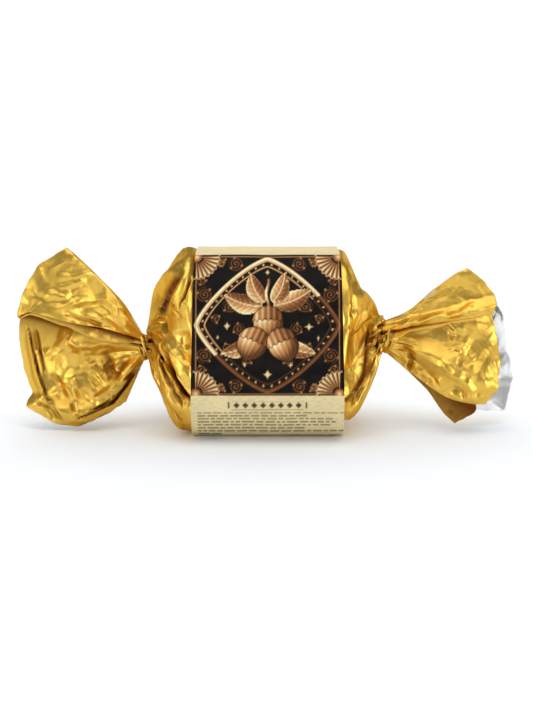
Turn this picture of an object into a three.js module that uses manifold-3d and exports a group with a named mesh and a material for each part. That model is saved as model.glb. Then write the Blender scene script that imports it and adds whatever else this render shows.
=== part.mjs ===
// A hazelnut praline twisted shut in gold foil, with a paper band round its middle.
//
// Millimetres. +X runs along the sweet, +Y away from the band's printed front and +Z up.
// The origin is the middle of the flat base that the sweet rests on.
//
// The wrapped sweet is one solid, because nothing inside the closed wrapper can be seen:
// a rounded-square barrel, two pleated shoulders that close to twisted necks, and a
// fanned tail on each neck. A tail is a loop of folds that start round the neck and run
// out to the rim, first down its front and then back up behind. The band is a sleeve
// that stands a little clear of the barrel.

import * as THREE from "three";
import { mergeVertices } from "three/addons/utils/BufferGeometryUtils.js";
import Module from "manifold-3d";

const wasm = await Module();
wasm.setup();

// Driving dimensions of the barrel, the band and the necks. Each section round the sweet
// is two halves of superellipses, a tall square one above its widest level and a low
// round one below, which leans back a little and is cut flat where the sweet rests.
const HEIGHT = 43.9;
const WIDEST_LEVEL = 17;
const HALF_DEPTH = 20;
const NARROWING = 0.22; // how much of its depth a section has lost at its top
const LEAN = 0.0875; // how far a section leans back, for each millimetre of height
const BASE_CUT = 1; // how far the flat base cuts into the sections
const SQUARENESS_ABOVE = 4;
const SQUARENESS_BELOW = 2.4;
const BAND_WIDTH = 36.4;
const BAND_TAPER = 1.1; // how much each edge of the band comes in on the side away from its foot
const BAND_WIDEST = -0.6; // radians round the barrel, where the band is widest
const BAND_THICKNESS = 0.5;
const BAND_CLEARANCE = 0.3;
const NECK_RIDGES = 5;
const NECK_RIDGE_HEIGHT = 0.45;
const NECK_TWIST = 0.5; // radians for each millimetre along the neck
const NECK_LENGTH = 2.6;
const TAIL_ROOT = 0.85; // a tail's size where it leaves the neck, as a share of the neck's

const RISE = HEIGHT - WIDEST_LEVEL;
const BARREL_INSET = BAND_THICKNESS + BAND_CLEARANCE;
const FLOOR_GAP = 0.05; // foil outside the band stays this far above the surface

// How finely the curved surfaces are cut into faces.
const BAND_STEPS = 72;
const PLEAT_STEPS = 8;
const BARREL_STEPS = 4;
const SHOULDER_STEPS = 10;
const NECK_STEPS = 3;
const PANEL_STEPS = 3;
const TAIL_STATIONS = [0, 0.1, 0.2, 0.3, 0.45, 0.6, 0.74, 0.88, 0.94, 1];

const GOLD = new THREE.MeshStandardMaterial({ color: 0xd0a030, roughness: 0.32, metalness: 1 });
const PARCHMENT = new THREE.MeshStandardMaterial({ color: 0xdac797, roughness: 0.75, metalness: 0 });

// Each shoulder: side is -1 for the left end. The profile gives the distance along X, the
// section's scale and the height of its middle. Crests are the pleats, in degrees round
// the section at the band, where 0 is the front and 90 the top; the swirl turns them.
const SHOULDERS = [
  {
    side: -1,
    neckRadius: 2.9,
    profile: [
      [17.5, 1, 17],
      [19.4, 0.945, 18.6],
      [21.2, 0.895, 18.7],
      [22.9, 0.8, 18.6],
      [24.6, 0.69, 18.4],
      [26.4, 0.545, 19],
      [28.1, 0.36, 19.6],
      [29.4, 0.15, 19.7],
    ],
    crests: [-155, -112, -72, -38, 8, 50, 88, 124, 165],
    pleatDepth: 1.9,
    swirl: 65,
  },
  {
    side: 1,
    neckRadius: 3.8,
    profile: [
      [17.5, 1, 17],
      [18.7, 0.94, 17.9],
      [20.4, 0.85, 17.2],
      [22.2, 0.73, 17.1],
      [23.9, 0.585, 17.6],
      [25.6, 0.415, 18.6],
      [27.3, 0.25, 20.6],
      [28.4, 0.18, 22.4],
    ],
    crests: [-170, -126, -84, -50, -2, 44, 84, 116, 150],
    pleatDepth: 1.7,
    swirl: 60,
  },
];

// Each tail hangs on its neck. A fold has the angle above the horizontal at which it
// leaves the neck, its reach, how far it stands to the front at each station of its
// length and, where it bends, how far it is raised at all stations but the last.
const FOLD_STATIONS = [0.3, 0.6, 0.88, 1];
const TAILS = [
  {
    side: -1,
    neck: { x: 30.3, z: 19.6, radius: 3.1 },
    front: [
      { angle: 54, reach: 31.4, depth: [0.5, 0.5, 0.3, 0], bend: [2.5, 1.9, 0.8] }, // top hem
      { angle: 40, reach: 33, depth: [3, 4, 2.6, 1], bend: [1, 0.8, 0.3] },
      { angle: 27, reach: 32.5, depth: [4.2, 6.2, 5.2, 3] },
      { angle: 15.5, reach: 31.7, depth: [4.8, 7.4, 7.4, 5.6] }, // lip of the upper flap
      { angle: 22, reach: 29.6, depth: [3.6, 5.4, 5, 3.4] }, // tuck behind the lip
      { angle: 11.5, reach: 29.4, depth: [3.4, 5.3, 4.9, 3.2] }, // lip of the narrow strip
      { angle: 15, reach: 29, depth: [2.3, 3, 3.2, 1.6] },
      { angle: 4, reach: 31, depth: [1.6, 1, 4.6, 0.6] }, // the hollow pocket
      { angle: -9, reach: 30.4, depth: [1.5, 0.6, 5.6, 0.8] },
      { angle: -20, reach: 30.8, depth: [1.5, 0.9, 6.6, 1.6] },
      { angle: -25, reach: 31.4, depth: [1.8, 1.8, 6.4, 4.6] }, // pointed corner
      { angle: -40, reach: 27.9, depth: [2, 2.2, 6.6, 6.4] },
      { angle: -49.8, reach: 25.1, depth: [2.4, 3.8, 5.6, 4] }, // lowest point of the rim
      { angle: -58, reach: 20, depth: [2.4, 3.8, 4.8, 3.2] },
      { angle: -71.5, reach: 13.9, depth: [2.2, 2.2, 2, 1.4] }, // heel
    ],
    back: [
      { angle: -55, reach: 19, depth: [-1.4, -1.2, 0.4, 1] },
      { angle: -37, reach: 27.2, depth: [-2.4, -3, -2, 0.6] },
      { angle: -14, reach: 30.6, depth: [-3, -5, -4.6, -1.6] },
      { angle: 12, reach: 31, depth: [-3, -5.6, -5, -2] },
      { angle: 38, reach: 32.2, depth: [-2, -3.6, -3, -1], bend: [1.6, 1.2, 0.4] },
    ],
  },
  {
    side: 1,
    neck: { x: 28.4, z: 22.6, radius: 4.2 },
    front: [
      { angle: 41, reach: 26.3, depth: [0.5, 0.5, 0.3, 0], bend: [-1.6, -0.4, 0.2] }, // top hem
      { angle: 31, reach: 28, depth: [2, 2.2, 1.6, 1], bend: [-0.8, -0.2, 0] },
      { angle: 22, reach: 29.2, depth: [3.6, 4.2, 3.6, 3] },
      { angle: 17, reach: 28.5, depth: [5.4, 6.8, 6.2, 5.6] }, // crest of the rolled fold
      { angle: 12.5, reach: 27.4, depth: [4.8, 6, 5.4, 4.8] }, // lip of the rolled fold
      { angle: 17, reach: 26.7, depth: [3.2, 3.6, 3.2, 2.8] },
      { angle: 12, reach: 27.1, depth: [3.2, 3.4, 3, 2.7] }, // broad front panel
      { angle: 0, reach: 28, depth: [4, 5, 4.6, 4] },
      { angle: -11, reach: 29.1, depth: [4.6, 7, 7, 6.2] },
      { angle: -23, reach: 30, depth: [4.6, 8, 8.6, 7.8] },
      { angle: -32.5, reach: 29.6, depth: [3.8, 7.4, 8.4, 8], bend: [-2.5, -3.5, -1.5] }, // lower lip
      { angle: -29, reach: 27, depth: [1.4, 3.6, 4, 3.8], bend: [0.4, 0.6, 0.2] }, // tuck behind it
      { angle: -39.5, reach: 29.6, depth: [1.2, 3.2, 3.8, 3.8], bend: [0.8, 1.6, 0.2] },
      { angle: -51, reach: 27.8, depth: [0.4, 1.8, 3, 3.2], bend: [1, 1.4, -0.2] }, // lower flap
    ],
    back: [
      { angle: -40, reach: 29.8, depth: [-1.2, -0.6, 0, 0.4], bend: [0.8, 1.6, 0.2] },
      { angle: -31.5, reach: 36.6, depth: [-1.8, -2.4, -2.4, -2] }, // long back layer
      { angle: -19, reach: 35.3, depth: [-2.6, -4, -3.6, -3] },
      { angle: -6, reach: 31.5, depth: [-3, -4.6, -4, -3.4] },
      { angle: 10, reach: 30.9, depth: [-3, -4, -3.4, -2.8] },
      { angle: 26, reach: 28.6, depth: [-2, -2.6, -2, -1], bend: [-0.6, -0.2, 0] },
    ],
  },
];

const radians = THREE.MathUtils.degToRad;
const lerp = THREE.MathUtils.lerp;
const smooth = THREE.MathUtils.smoothstep;
const steps = (count) => Array.from({ length: count }, (_, i) => i / count);

// A smooth curve through [place, value] pairs, without overshoot, read at a place.
function curve(pairs, place) {
  const slopes = pairs.slice(1).map(([x, v], i) => (v - pairs[i][1]) / (x - pairs[i][0]));
  const tangent = (i) => {
    const [before, after] = [slopes[Math.max(i - 1, 0)], slopes[Math.min(i, slopes.length - 1)]];
    return before * after > 0 ? (2 * before * after) / (before + after) : 0;
  };
  const next = pairs.findIndex(([x], i) => i > 0 && x >= place);
  const i = next < 0 ? pairs.length - 2 : next - 1;
  const [[x0, v0], [x1, v1]] = [pairs[i], pairs[i + 1]];
  const t = THREE.MathUtils.clamp((place - x0) / (x1 - x0), 0, 1);
  const bend = t * (1 - t) * (x1 - x0);
  return lerp(v0, v1, t * t * (3 - 2 * t)) + bend * ((1 - t) * tangent(i) - t * tangent(i + 1));
}

// A point of a section round the sweet: how far to the front, and above its widest level.
function section(angle, inset) {
  const cos = Math.cos(angle);
  const sin = Math.sin(angle);
  const height = (sin > 0 ? RISE : WIDEST_LEVEL + BASE_CUT) - inset;
  const n = sin > 0 ? SQUARENESS_ABOVE : SQUARENESS_BELOW;
  const reach = (Math.abs(cos / (HALF_DEPTH - inset)) ** n + Math.abs(sin / height) ** n) ** (-1 / n);
  const up = reach * sin;
  return { forward: reach * cos * (1 - (NARROWING * up) / RISE) - LEAN * up, up };
}

// The points round a shoulder's section: each crest, the valley after it and between.
function pleatSteps({ crests }) {
  return crests.flatMap((crest, i) => {
    const next = i + 1 < crests.length ? crests[i + 1] : crests[0] + 360;
    return steps(PLEAT_STEPS).map((share) => ({
      angle: radians(lerp(crest, next, share)),
      lift: Math.abs(1 - 2 * share),
    }));
  });
}

// A ring round one station of a shoulder, share 0 at the band and 1 at the neck.
function shoulderRing(shoulder, share) {
  const { side, profile, pleatDepth, swirl } = shoulder;
  const x = lerp(profile[0][0], profile[profile.length - 1][0], share);
  const scaleAt = (place) => curve(profile.map(([at, scale]) => [at, scale]), place);
  const axis = curve(profile.map(([at, , middle]) => [at, middle]), x);
  const slope = scaleAt(x + 0.3) - scaleAt(x - 0.3);
  const outward = new THREE.Vector2(-slope * RISE, 0.6).normalize();
  const rise = pleatDepth * smooth(share, 0, 0.4) * (1 - 0.75 * smooth(share, 0.65, 1));
  return pleatSteps(shoulder).map((step) => {
    const lift = rise * (step.lift - 0.85);
    const { forward, up } = section(step.angle + turn(swirl, share), BARREL_INSET);
    const wide = scaleAt(x) + (lift * outward.y) / RISE;
    const z = Math.max(axis + up * wide, BARREL_INSET * (1 - smooth(share, 0, 0.15)) + FLOOR_GAP);
    return new THREE.Vector3(side * (x + lift * outward.x), -forward * wide, z);
  });
}

// How far a shoulder's pleats have turned at a share of its length, in radians.
function turn(swirl, share) {
  return radians(swirl) * share * share;
}

// A ring of the twisted neck, share 0 where the shoulder ends and 1 at its outer end.
function neckRing(shoulder, share) {
  const { side, profile, neckRadius, swirl } = shoulder;
  const [x, , z] = profile[profile.length - 1];
  const out = share * NECK_LENGTH;
  return pleatSteps(shoulder).map(({ angle }) => {
    const radius = neckRadius + NECK_RIDGE_HEIGHT * Math.cos(NECK_RIDGES * angle);
    const turned = angle + turn(swirl, 1) + NECK_TWIST * out;
    return new THREE.Vector3(side * (x + out), -radius * Math.cos(turned), z + radius * Math.sin(turned));
  });
}

// A ring round the barrel under the band, share 0 at its left end and 1 at its right.
function barrelRing(share) {
  const [left, right] = SHOULDERS;
  const x = lerp(-left.profile[0][0], right.profile[0][0], share);
  const starts = pleatSteps(left);
  return pleatSteps(right).map(({ angle }, i) => {
    const { forward, up } = section(lerp(starts[i].angle, angle, share), BARREL_INSET);
    return new THREE.Vector3(x, -forward, Math.max(WIDEST_LEVEL + up, BARREL_INSET));
  });
}

// The barrel with both shoulders and necks, as one closed loft from left to right.
function barrelRings() {
  const end = (shoulder) => [
    ...steps(SHOULDER_STEPS).map((share) => shoulderRing(shoulder, share + 1 / SHOULDER_STEPS)),
    ...steps(NECK_STEPS).map((share) => neckRing(shoulder, share + 1 / NECK_STEPS)),
  ];
  const [left, right] = SHOULDERS;
  return [...end(left).reverse(), ...steps(BARREL_STEPS).map(barrelRing), barrelRing(1), ...end(right)];
}

// Where a fold of a tail runs at a share of its length. Start is its angle round the neck.
function foldPoint(tail, fold, start, share) {
  const root = TAIL_ROOT * tail.neck.radius;
  const from = new THREE.Vector2(0, root * Math.sin(start));
  const to = new THREE.Vector2(
    fold.reach * Math.cos(radians(fold.angle)),
    fold.reach * Math.sin(radians(fold.angle)),
  );
  const through = (first, values) => [[0, first], ...values.map((v, i) => [FOLD_STATIONS[i], v])];
  const place = from.lerp(to, share);
  place.y += curve(through(0, [...(fold.bend ?? [0, 0, 0]), 0]), share);
  const forward = curve(through(root * Math.cos(start), fold.depth), share);
  const z = Math.max(tail.neck.z + place.y, FLOOR_GAP);
  return new THREE.Vector3(tail.side * (tail.neck.x + place.x), -forward, z);
}

// The folds of a tail in order round its loop, each with its angle round the neck.
function foldLoop({ front, back }) {
  const down = front.map((fold, i) => ({ fold, start: Math.PI * (0.5 - i / (front.length - 1)) }));
  const up = back.map((fold, i) => ({ fold, start: -Math.PI * (0.5 + (i + 1) / (back.length + 1)) }));
  return [...down, ...up];
}

// A ring round a tail, with straight panels between its folds.
function tailRing(tail, share) {
  const corners = foldLoop(tail).map(({ fold, start }) => foldPoint(tail, fold, start, share));
  return corners.flatMap((corner, i) => {
    const next = corners[(i + 1) % corners.length];
    return steps(PANEL_STEPS).map((part) => corner.clone().lerp(next, part));
  });
}

// A ring's outline as seen along X.
function endOn(ring) {
  return ring.map((point) => new THREE.Vector2(-point.y, point.z));
}

// A tail's rim unrolled round the neck to a flat outline, so that it can be triangulated.
function unrolled(tail, ring) {
  return ring.map((point) => {
    const out = tail.side * point.x - tail.neck.x;
    const up = point.z - tail.neck.z;
    return new THREE.Vector2(-point.y, Math.atan2(up, Math.max(out, 1)) * HALF_DEPTH);
  });
}

// The triangles that fill a ring, wound the way its outline runs.
function cap(outline, first) {
  const flip = THREE.ShapeUtils.isClockWise(outline);
  return THREE.ShapeUtils.triangulateShape(outline, []).map(([a, b, c]) =>
    (flip ? [a, c, b] : [a, b, c]).map((i) => i + first),
  );
}

// One closed solid through rings of equal length, with a cap over each end.
function loft(rings, firstOutline, lastOutline) {
  const count = rings[0].length;
  const last = (rings.length - 1) * count;
  const faces = [];
  for (let start = 0; start < last; start += count) {
    for (let i = 0; i < count; i++) {
      const [a, b] = [start + i, start + ((i + 1) % count)];
      faces.push([a, b, b + count], [a, b + count, a + count]);
    }
  }
  const firstCap = cap(firstOutline, 0).map(([a, b, c]) => [a, c, b]);
  return solid(rings, [...faces, ...firstCap, ...cap(lastOutline, last)]);
}

// A manifold solid from rings of points and triangles, turned so that its faces point out.
function solid(rings, faces) {
  const points = rings.flat();
  const volume = faces.reduce((sum, [a, b, c]) => {
    return sum + points[a].dot(points[b].clone().cross(points[c]));
  }, 0);
  const turned = volume < 0 ? faces.map(([a, b, c]) => [a, c, b]) : faces;
  const geometry = new THREE.BufferGeometry().setFromPoints(points);
  geometry.setIndex(turned.flat());
  const merged = mergeVertices(geometry, 1e-4);
  return new wasm.Manifold(
    new wasm.Mesh({
      numProp: 3,
      vertProperties: merged.getAttribute("position").array,
      triVerts: new Uint32Array(merged.index.array),
    }),
  );
}

// The band: a sleeve whose edges come in a little from its foot to the top and the back.
function bandSolid() {
  const corners = [[-1, 0], [1, 0], [1, BAND_THICKNESS], [-1, BAND_THICKNESS]];
  const rings = steps(BAND_STEPS).map((share) => {
    const angle = 2 * Math.PI * share;
    const taper = (BAND_TAPER * (1 - Math.cos(angle - BAND_WIDEST))) / 2;
    return corners.map(([side, inset]) => {
      const { forward, up } = section(angle, inset);
      const x = side * (BAND_WIDTH / 2 - taper);
      return new THREE.Vector3(x, -forward, Math.max(WIDEST_LEVEL + up, inset));
    });
  });
  const faces = rings.flatMap((_, r) => {
    const [here, there] = [r * 4, ((r + 1) % rings.length) * 4];
    return corners.flatMap((_, i) => {
      const next = (i + 1) % 4;
      return [[here + i, here + next, there + next], [here + i, there + next, there + i]];
    });
  });
  return solid(rings, faces);
}

// The wrapped sweet: barrel, necks and tails joined, without any scrap that a join leaves.
function wrapperSolid() {
  const rings = barrelRings();
  const barrel = loft(rings, endOn(rings[0]), endOn(rings[rings.length - 1]));
  const tails = TAILS.map((tail) => {
    const loops = TAIL_STATIONS.map((share) => tailRing(tail, share));
    return loft(loops, endOn(loops[0]), unrolled(tail, loops[loops.length - 1]));
  });
  const joined = tails.reduce((whole, tail) => whole.add(tail), barrel);
  return joined.decompose().sort((a, b) => b.volume() - a.volume())[0];
}

// A named mesh of a solid.
function meshOf(name, made, material) {
  const { vertProperties, triVerts } = made.getMesh();
  const geometry = new THREE.BufferGeometry();
  geometry.setAttribute("position", new THREE.BufferAttribute(vertProperties.slice(), 3));
  geometry.setIndex(new THREE.BufferAttribute(triVerts.slice(), 1));
  geometry.computeVertexNormals();
  const mesh = new THREE.Mesh(geometry, material);
  mesh.name = name;
  return mesh;
}

const praline = new THREE.Group();
praline.add(meshOf("foil_wrapper", wrapperSolid(), GOLD));
praline.add(meshOf("paper_band", bandSolid(), PARCHMENT));

export default praline;
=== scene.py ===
"""Looks of the hazelnut praline: crumpled gold foil twisted at both ends, and a printed paper band.

Lengths in the classes are millimetres, and the meshes are written in metres. X runs along the
sweet, its front faces -Y and Z is up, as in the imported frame.
"""

import logging
import math
from dataclasses import dataclass
from enum import Enum

import bpy
import numpy as np
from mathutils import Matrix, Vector


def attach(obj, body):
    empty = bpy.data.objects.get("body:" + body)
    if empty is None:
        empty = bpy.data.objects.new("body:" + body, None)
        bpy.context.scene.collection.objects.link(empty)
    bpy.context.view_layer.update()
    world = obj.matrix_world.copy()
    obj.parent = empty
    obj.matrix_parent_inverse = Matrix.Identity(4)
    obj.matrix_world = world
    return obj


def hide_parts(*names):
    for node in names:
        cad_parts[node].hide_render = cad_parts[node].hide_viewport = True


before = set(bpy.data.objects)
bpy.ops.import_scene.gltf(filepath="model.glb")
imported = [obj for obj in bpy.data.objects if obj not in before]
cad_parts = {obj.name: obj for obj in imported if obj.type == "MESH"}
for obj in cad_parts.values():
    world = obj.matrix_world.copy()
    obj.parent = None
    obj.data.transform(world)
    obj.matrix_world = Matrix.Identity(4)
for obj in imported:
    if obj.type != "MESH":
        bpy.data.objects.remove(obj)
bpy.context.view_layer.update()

log = logging.getLogger("praline")

MM = 0.001
GOLD_SLOT = "gold_foil"
PAPER_SLOT = "parchment_paper"
# the colour attribute: print on the paper band, painted shade on the foil
TINT = "tint"

# The section round the sweet: two half superellipses about its widest level, cut flat below.
HEIGHT = 43.9
WIDEST_LEVEL = 17.0
RISE = HEIGHT - WIDEST_LEVEL
HALF_DEPTH = 20.0
NARROWING = 0.22
LEAN = 0.0875
BASE_CUT = 1.0
SQUARENESS_ABOVE = 4.0
SQUARENESS_BELOW = 2.4
BARREL_INSET = 0.8
FLOOR_GAP = 0.05

# The studio camera, which drawn creases are placed through.
PICTURE = (533, 711)
FOCAL_PIXELS = 1697.0
CAMERA_TARGET = (-0.25, 0.0, 17.6)
CAMERA_DISTANCE = 420.0
CAMERA_ELEVATION = math.radians(11)
PIXELS_PER_MM = FOCAL_PIXELS / CAMERA_DISTANCE


def smooth(value: np.ndarray | float, low: float, high: float) -> np.ndarray:
    """Rises smoothly from 0 at low to 1 at high.

    Args:
        value: the places to read it at.
        low: where the rise starts.
        high: where it ends.

    Returns:
        The risen value at each place.
    """
    share = np.clip((np.asarray(value, float) - low) / (high - low), 0, 1)
    return share * share * (3 - 2 * share)


def curve(places: np.ndarray, values: np.ndarray, at: np.ndarray) -> np.ndarray:
    """A smooth curve through given values that never overshoots them.

    Args:
        places: the rising places of the given values.
        values: the values, one row for each place.
        at: where to read the curve.

    Returns:
        The curve's values, one row for each place read.
    """
    places = np.asarray(places, float)
    values = np.asarray(values, float)
    at = np.asarray(at, float)
    spans = np.diff(places)
    slopes = np.diff(values, axis=0) / spans.reshape((-1,) + (1,) * (values.ndim - 1))
    before = np.concatenate([slopes[:1], slopes])
    after = np.concatenate([slopes, slopes[-1:]])
    product = before * after
    total = np.where(np.abs(before + after) < 1e-12, 1, before + after)
    tangents = np.where(product > 0, 2 * product / total, 0)
    i = np.clip(np.searchsorted(places, at, side="right") - 1, 0, len(spans) - 1)
    shape = at.shape + (1,) * (values.ndim - 1)
    t = np.clip((at - places[i]) / spans[i], 0, 1).reshape(shape)
    bend = t * (1 - t) * spans[i].reshape(shape)
    base = values[i] + (values[i + 1] - values[i]) * (t * t * (3 - 2 * t))
    return base + bend * ((1 - t) * tangents[i] - t * tangents[i + 1])


def section(angle: np.ndarray, inset: float) -> tuple[np.ndarray, np.ndarray]:
    """A section round the sweet.

    Args:
        angle: radians round it, 0 at the front and a quarter turn at the top.
        inset: how far inside the band's outer face it runs.

    Returns:
        How far each point is to the front, and how far above the widest level.
    """
    cos, sin = np.cos(angle), np.sin(angle)
    above = sin > 0
    height = np.where(above, RISE, WIDEST_LEVEL + BASE_CUT) - inset
    n = np.where(above, SQUARENESS_ABOVE, SQUARENESS_BELOW)
    reach = (np.abs(cos / (HALF_DEPTH - inset)) ** n + np.abs(sin / height) ** n) ** (-1 / n)
    up = reach * sin
    return reach * cos * (1 - NARROWING * up / RISE) - LEAN * up, up


def grid_normals(grid: np.ndarray) -> np.ndarray:
    """Unit normals of a grid that is closed round its columns, pointing out of it.

    Args:
        grid: the grid's points.

    Returns:
        The normal at each point.
    """
    along = np.gradient(grid, axis=0)
    around = np.roll(grid, -1, axis=1) - np.roll(grid, 1, axis=1)
    normals = np.cross(around, along)
    normals /= np.maximum(np.linalg.norm(normals, axis=2, keepdims=True), 1e-9)
    middle = grid.mean(axis=1, keepdims=True)
    if np.median(((grid - middle) * normals).sum(axis=2)) < 0:
        normals = -normals
    return normals


def widened(values: np.ndarray, reach: int) -> np.ndarray:
    """The highest value near each point of a grid that is closed round its columns.

    Args:
        values: the grid's values.
        reach: how many rows and columns away still count.

    Returns:
        As many values.
    """
    steps = range(-reach, reach + 1)
    padded = np.pad(values, ((reach, reach), (0, 0)), mode="edge")
    near = np.max([np.roll(padded, k, axis=1) for k in steps], axis=0)
    return np.max([near[reach + k : reach + k + len(values)] for k in steps], axis=0)


def blurred(values: np.ndarray, weights: np.ndarray, axis: int) -> np.ndarray:
    """Values smoothed round a closed axis.

    Args:
        values: the values.
        weights: how much each neighbour counts, from one side to the other.
        axis: the closed axis.

    Returns:
        As many values.
    """
    reach = len(weights) // 2
    shares = zip(weights / weights.sum(), range(-reach, reach + 1))
    return sum(share * np.roll(values, k, axis=axis) for share, k in shares)


def pictured(points: np.ndarray) -> np.ndarray:
    """Where the studio camera sees points.

    Args:
        points: places in millimetres, the last axis X, Y, Z.

    Returns:
        Columns and rows in the picture, the last axis of two.
    """
    cos, sin = math.cos(CAMERA_ELEVATION), math.sin(CAMERA_ELEVATION)
    eye = np.array(CAMERA_TARGET) + CAMERA_DISTANCE * np.array([0, -cos, sin])
    away = points - eye
    depth = away @ np.array([0, cos, -sin])
    up = away @ np.array([0, sin, cos])
    column = PICTURE[0] / 2 + FOCAL_PIXELS * away[..., 0] / depth
    row = PICTURE[1] / 2 - FOCAL_PIXELS * up / depth
    return np.stack([column, row], axis=-1)


class CreaseKind(Enum):
    """How the foil stands across a drawn crease."""

    RIDGE = "ridge"
    VALLEY = "valley"
    HOLLOW = "hollow"
    LIP = "lip"


@dataclass(frozen=True)
class Crease:
    """A crease drawn as a line in the studio camera's picture.

    A lip stands up on the left of the line, as one walks along it, and drops across it. Lips and
    valleys get painted shade, the dark tint of a deep gap, and a dark crease carries that much more
    of it.
    """

    kind: CreaseKind
    line: tuple[tuple[float, float], ...]
    height: float
    width: float
    overhang: float = 0.0
    # dark: how much more painted shade a valley gets along it
    dark: float = 0.0

    def lift(self, seen: np.ndarray) -> tuple[np.ndarray, np.ndarray, np.ndarray]:
        """How far the crease raises the foil.

        Args:
            seen: columns and rows of the points in the picture.

        Returns:
            The rise at each point in millimetres, its shift in the picture plane, and how much
            painted shade it gets, from 0 to 1.
        """
        corners = np.asarray(self.line, float)
        lengths = np.linalg.norm(np.diff(corners, axis=0), axis=1)
        starts = np.concatenate([[0], np.cumsum(lengths)])
        nearest = np.full(seen.shape[:-1], np.inf)
        side = np.zeros(seen.shape[:-1])
        along = np.zeros(seen.shape[:-1])
        across = np.zeros(seen.shape)
        for i, length in enumerate(lengths):
            step = (corners[i + 1] - corners[i]) / max(length, 1e-9)
            away = seen - corners[i]
            reach = away @ step
            foot = np.clip(reach, 0, length)
            gap = away - foot[..., None] * step
            distance = np.linalg.norm(gap, axis=-1)
            left = step[0] * gap[..., 1] - step[1] * gap[..., 0] < 0
            closer = distance < nearest
            nearest = np.where(closer, distance, nearest)
            side = np.where(closer, np.where(left, 1.0, -1.0), side)
            along = np.where(closer, (starts[i] + foot) / starts[-1], along)
            low = np.array([-step[1], step[0]])
            across = np.where(closer[..., None], low, across)
        gap = nearest / PIXELS_PER_MM / self.width
        ends = np.clip(np.minimum(along, 1 - along) * 5, 0, 1)
        tent = np.clip(1 - gap, 0, 1) * ends
        shift, none = np.zeros(seen.shape), np.zeros(seen.shape[:-1])
        near = nearest / PIXELS_PER_MM
        if self.kind is CreaseKind.LIP:
            high = side > 0
            rise = np.where(high, tent, -0.3 * np.clip(1 - 2.5 * gap, 0, 1) * ends)
            shift = across * (self.overhang * np.where(high, tent**2, 0))[..., None]
            # painted shade on the lip's edge and in the gap below it
            dark = np.where(high, np.clip(1 - near / 0.25, 0, 1), np.clip(1.3 - near / 0.8, 0, 1))
            return self.height * rise, shift, dark * ends
        if self.kind is CreaseKind.RIDGE:
            return self.height * tent, shift, none
        if self.kind is CreaseKind.VALLEY:
            # painted shade along the valley, stronger for deeper and darker creases
            dark = np.clip(1.5 - near / (0.35 * self.width + 0.15), 0, 1)
            dark *= min(self.height + self.dark, 1)
            return -self.height * tent, shift, dark * ends
        bell = np.exp(-0.5 * (2 * gap) ** 2) * np.clip(np.minimum(along, 1 - along) * 4, 0, 1)
        return -self.height * bell, shift, none


def creases(kind: CreaseKind, *drawn: tuple) -> tuple[Crease, ...]:
    """Creases of one kind.

    Args:
        kind: how the foil stands across them.
        drawn: for each crease its height and width in millimetres, and its line.

    Returns:
        The creases.
    """
    return tuple(Crease(kind, line, height, width) for height, width, line in drawn)


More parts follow.
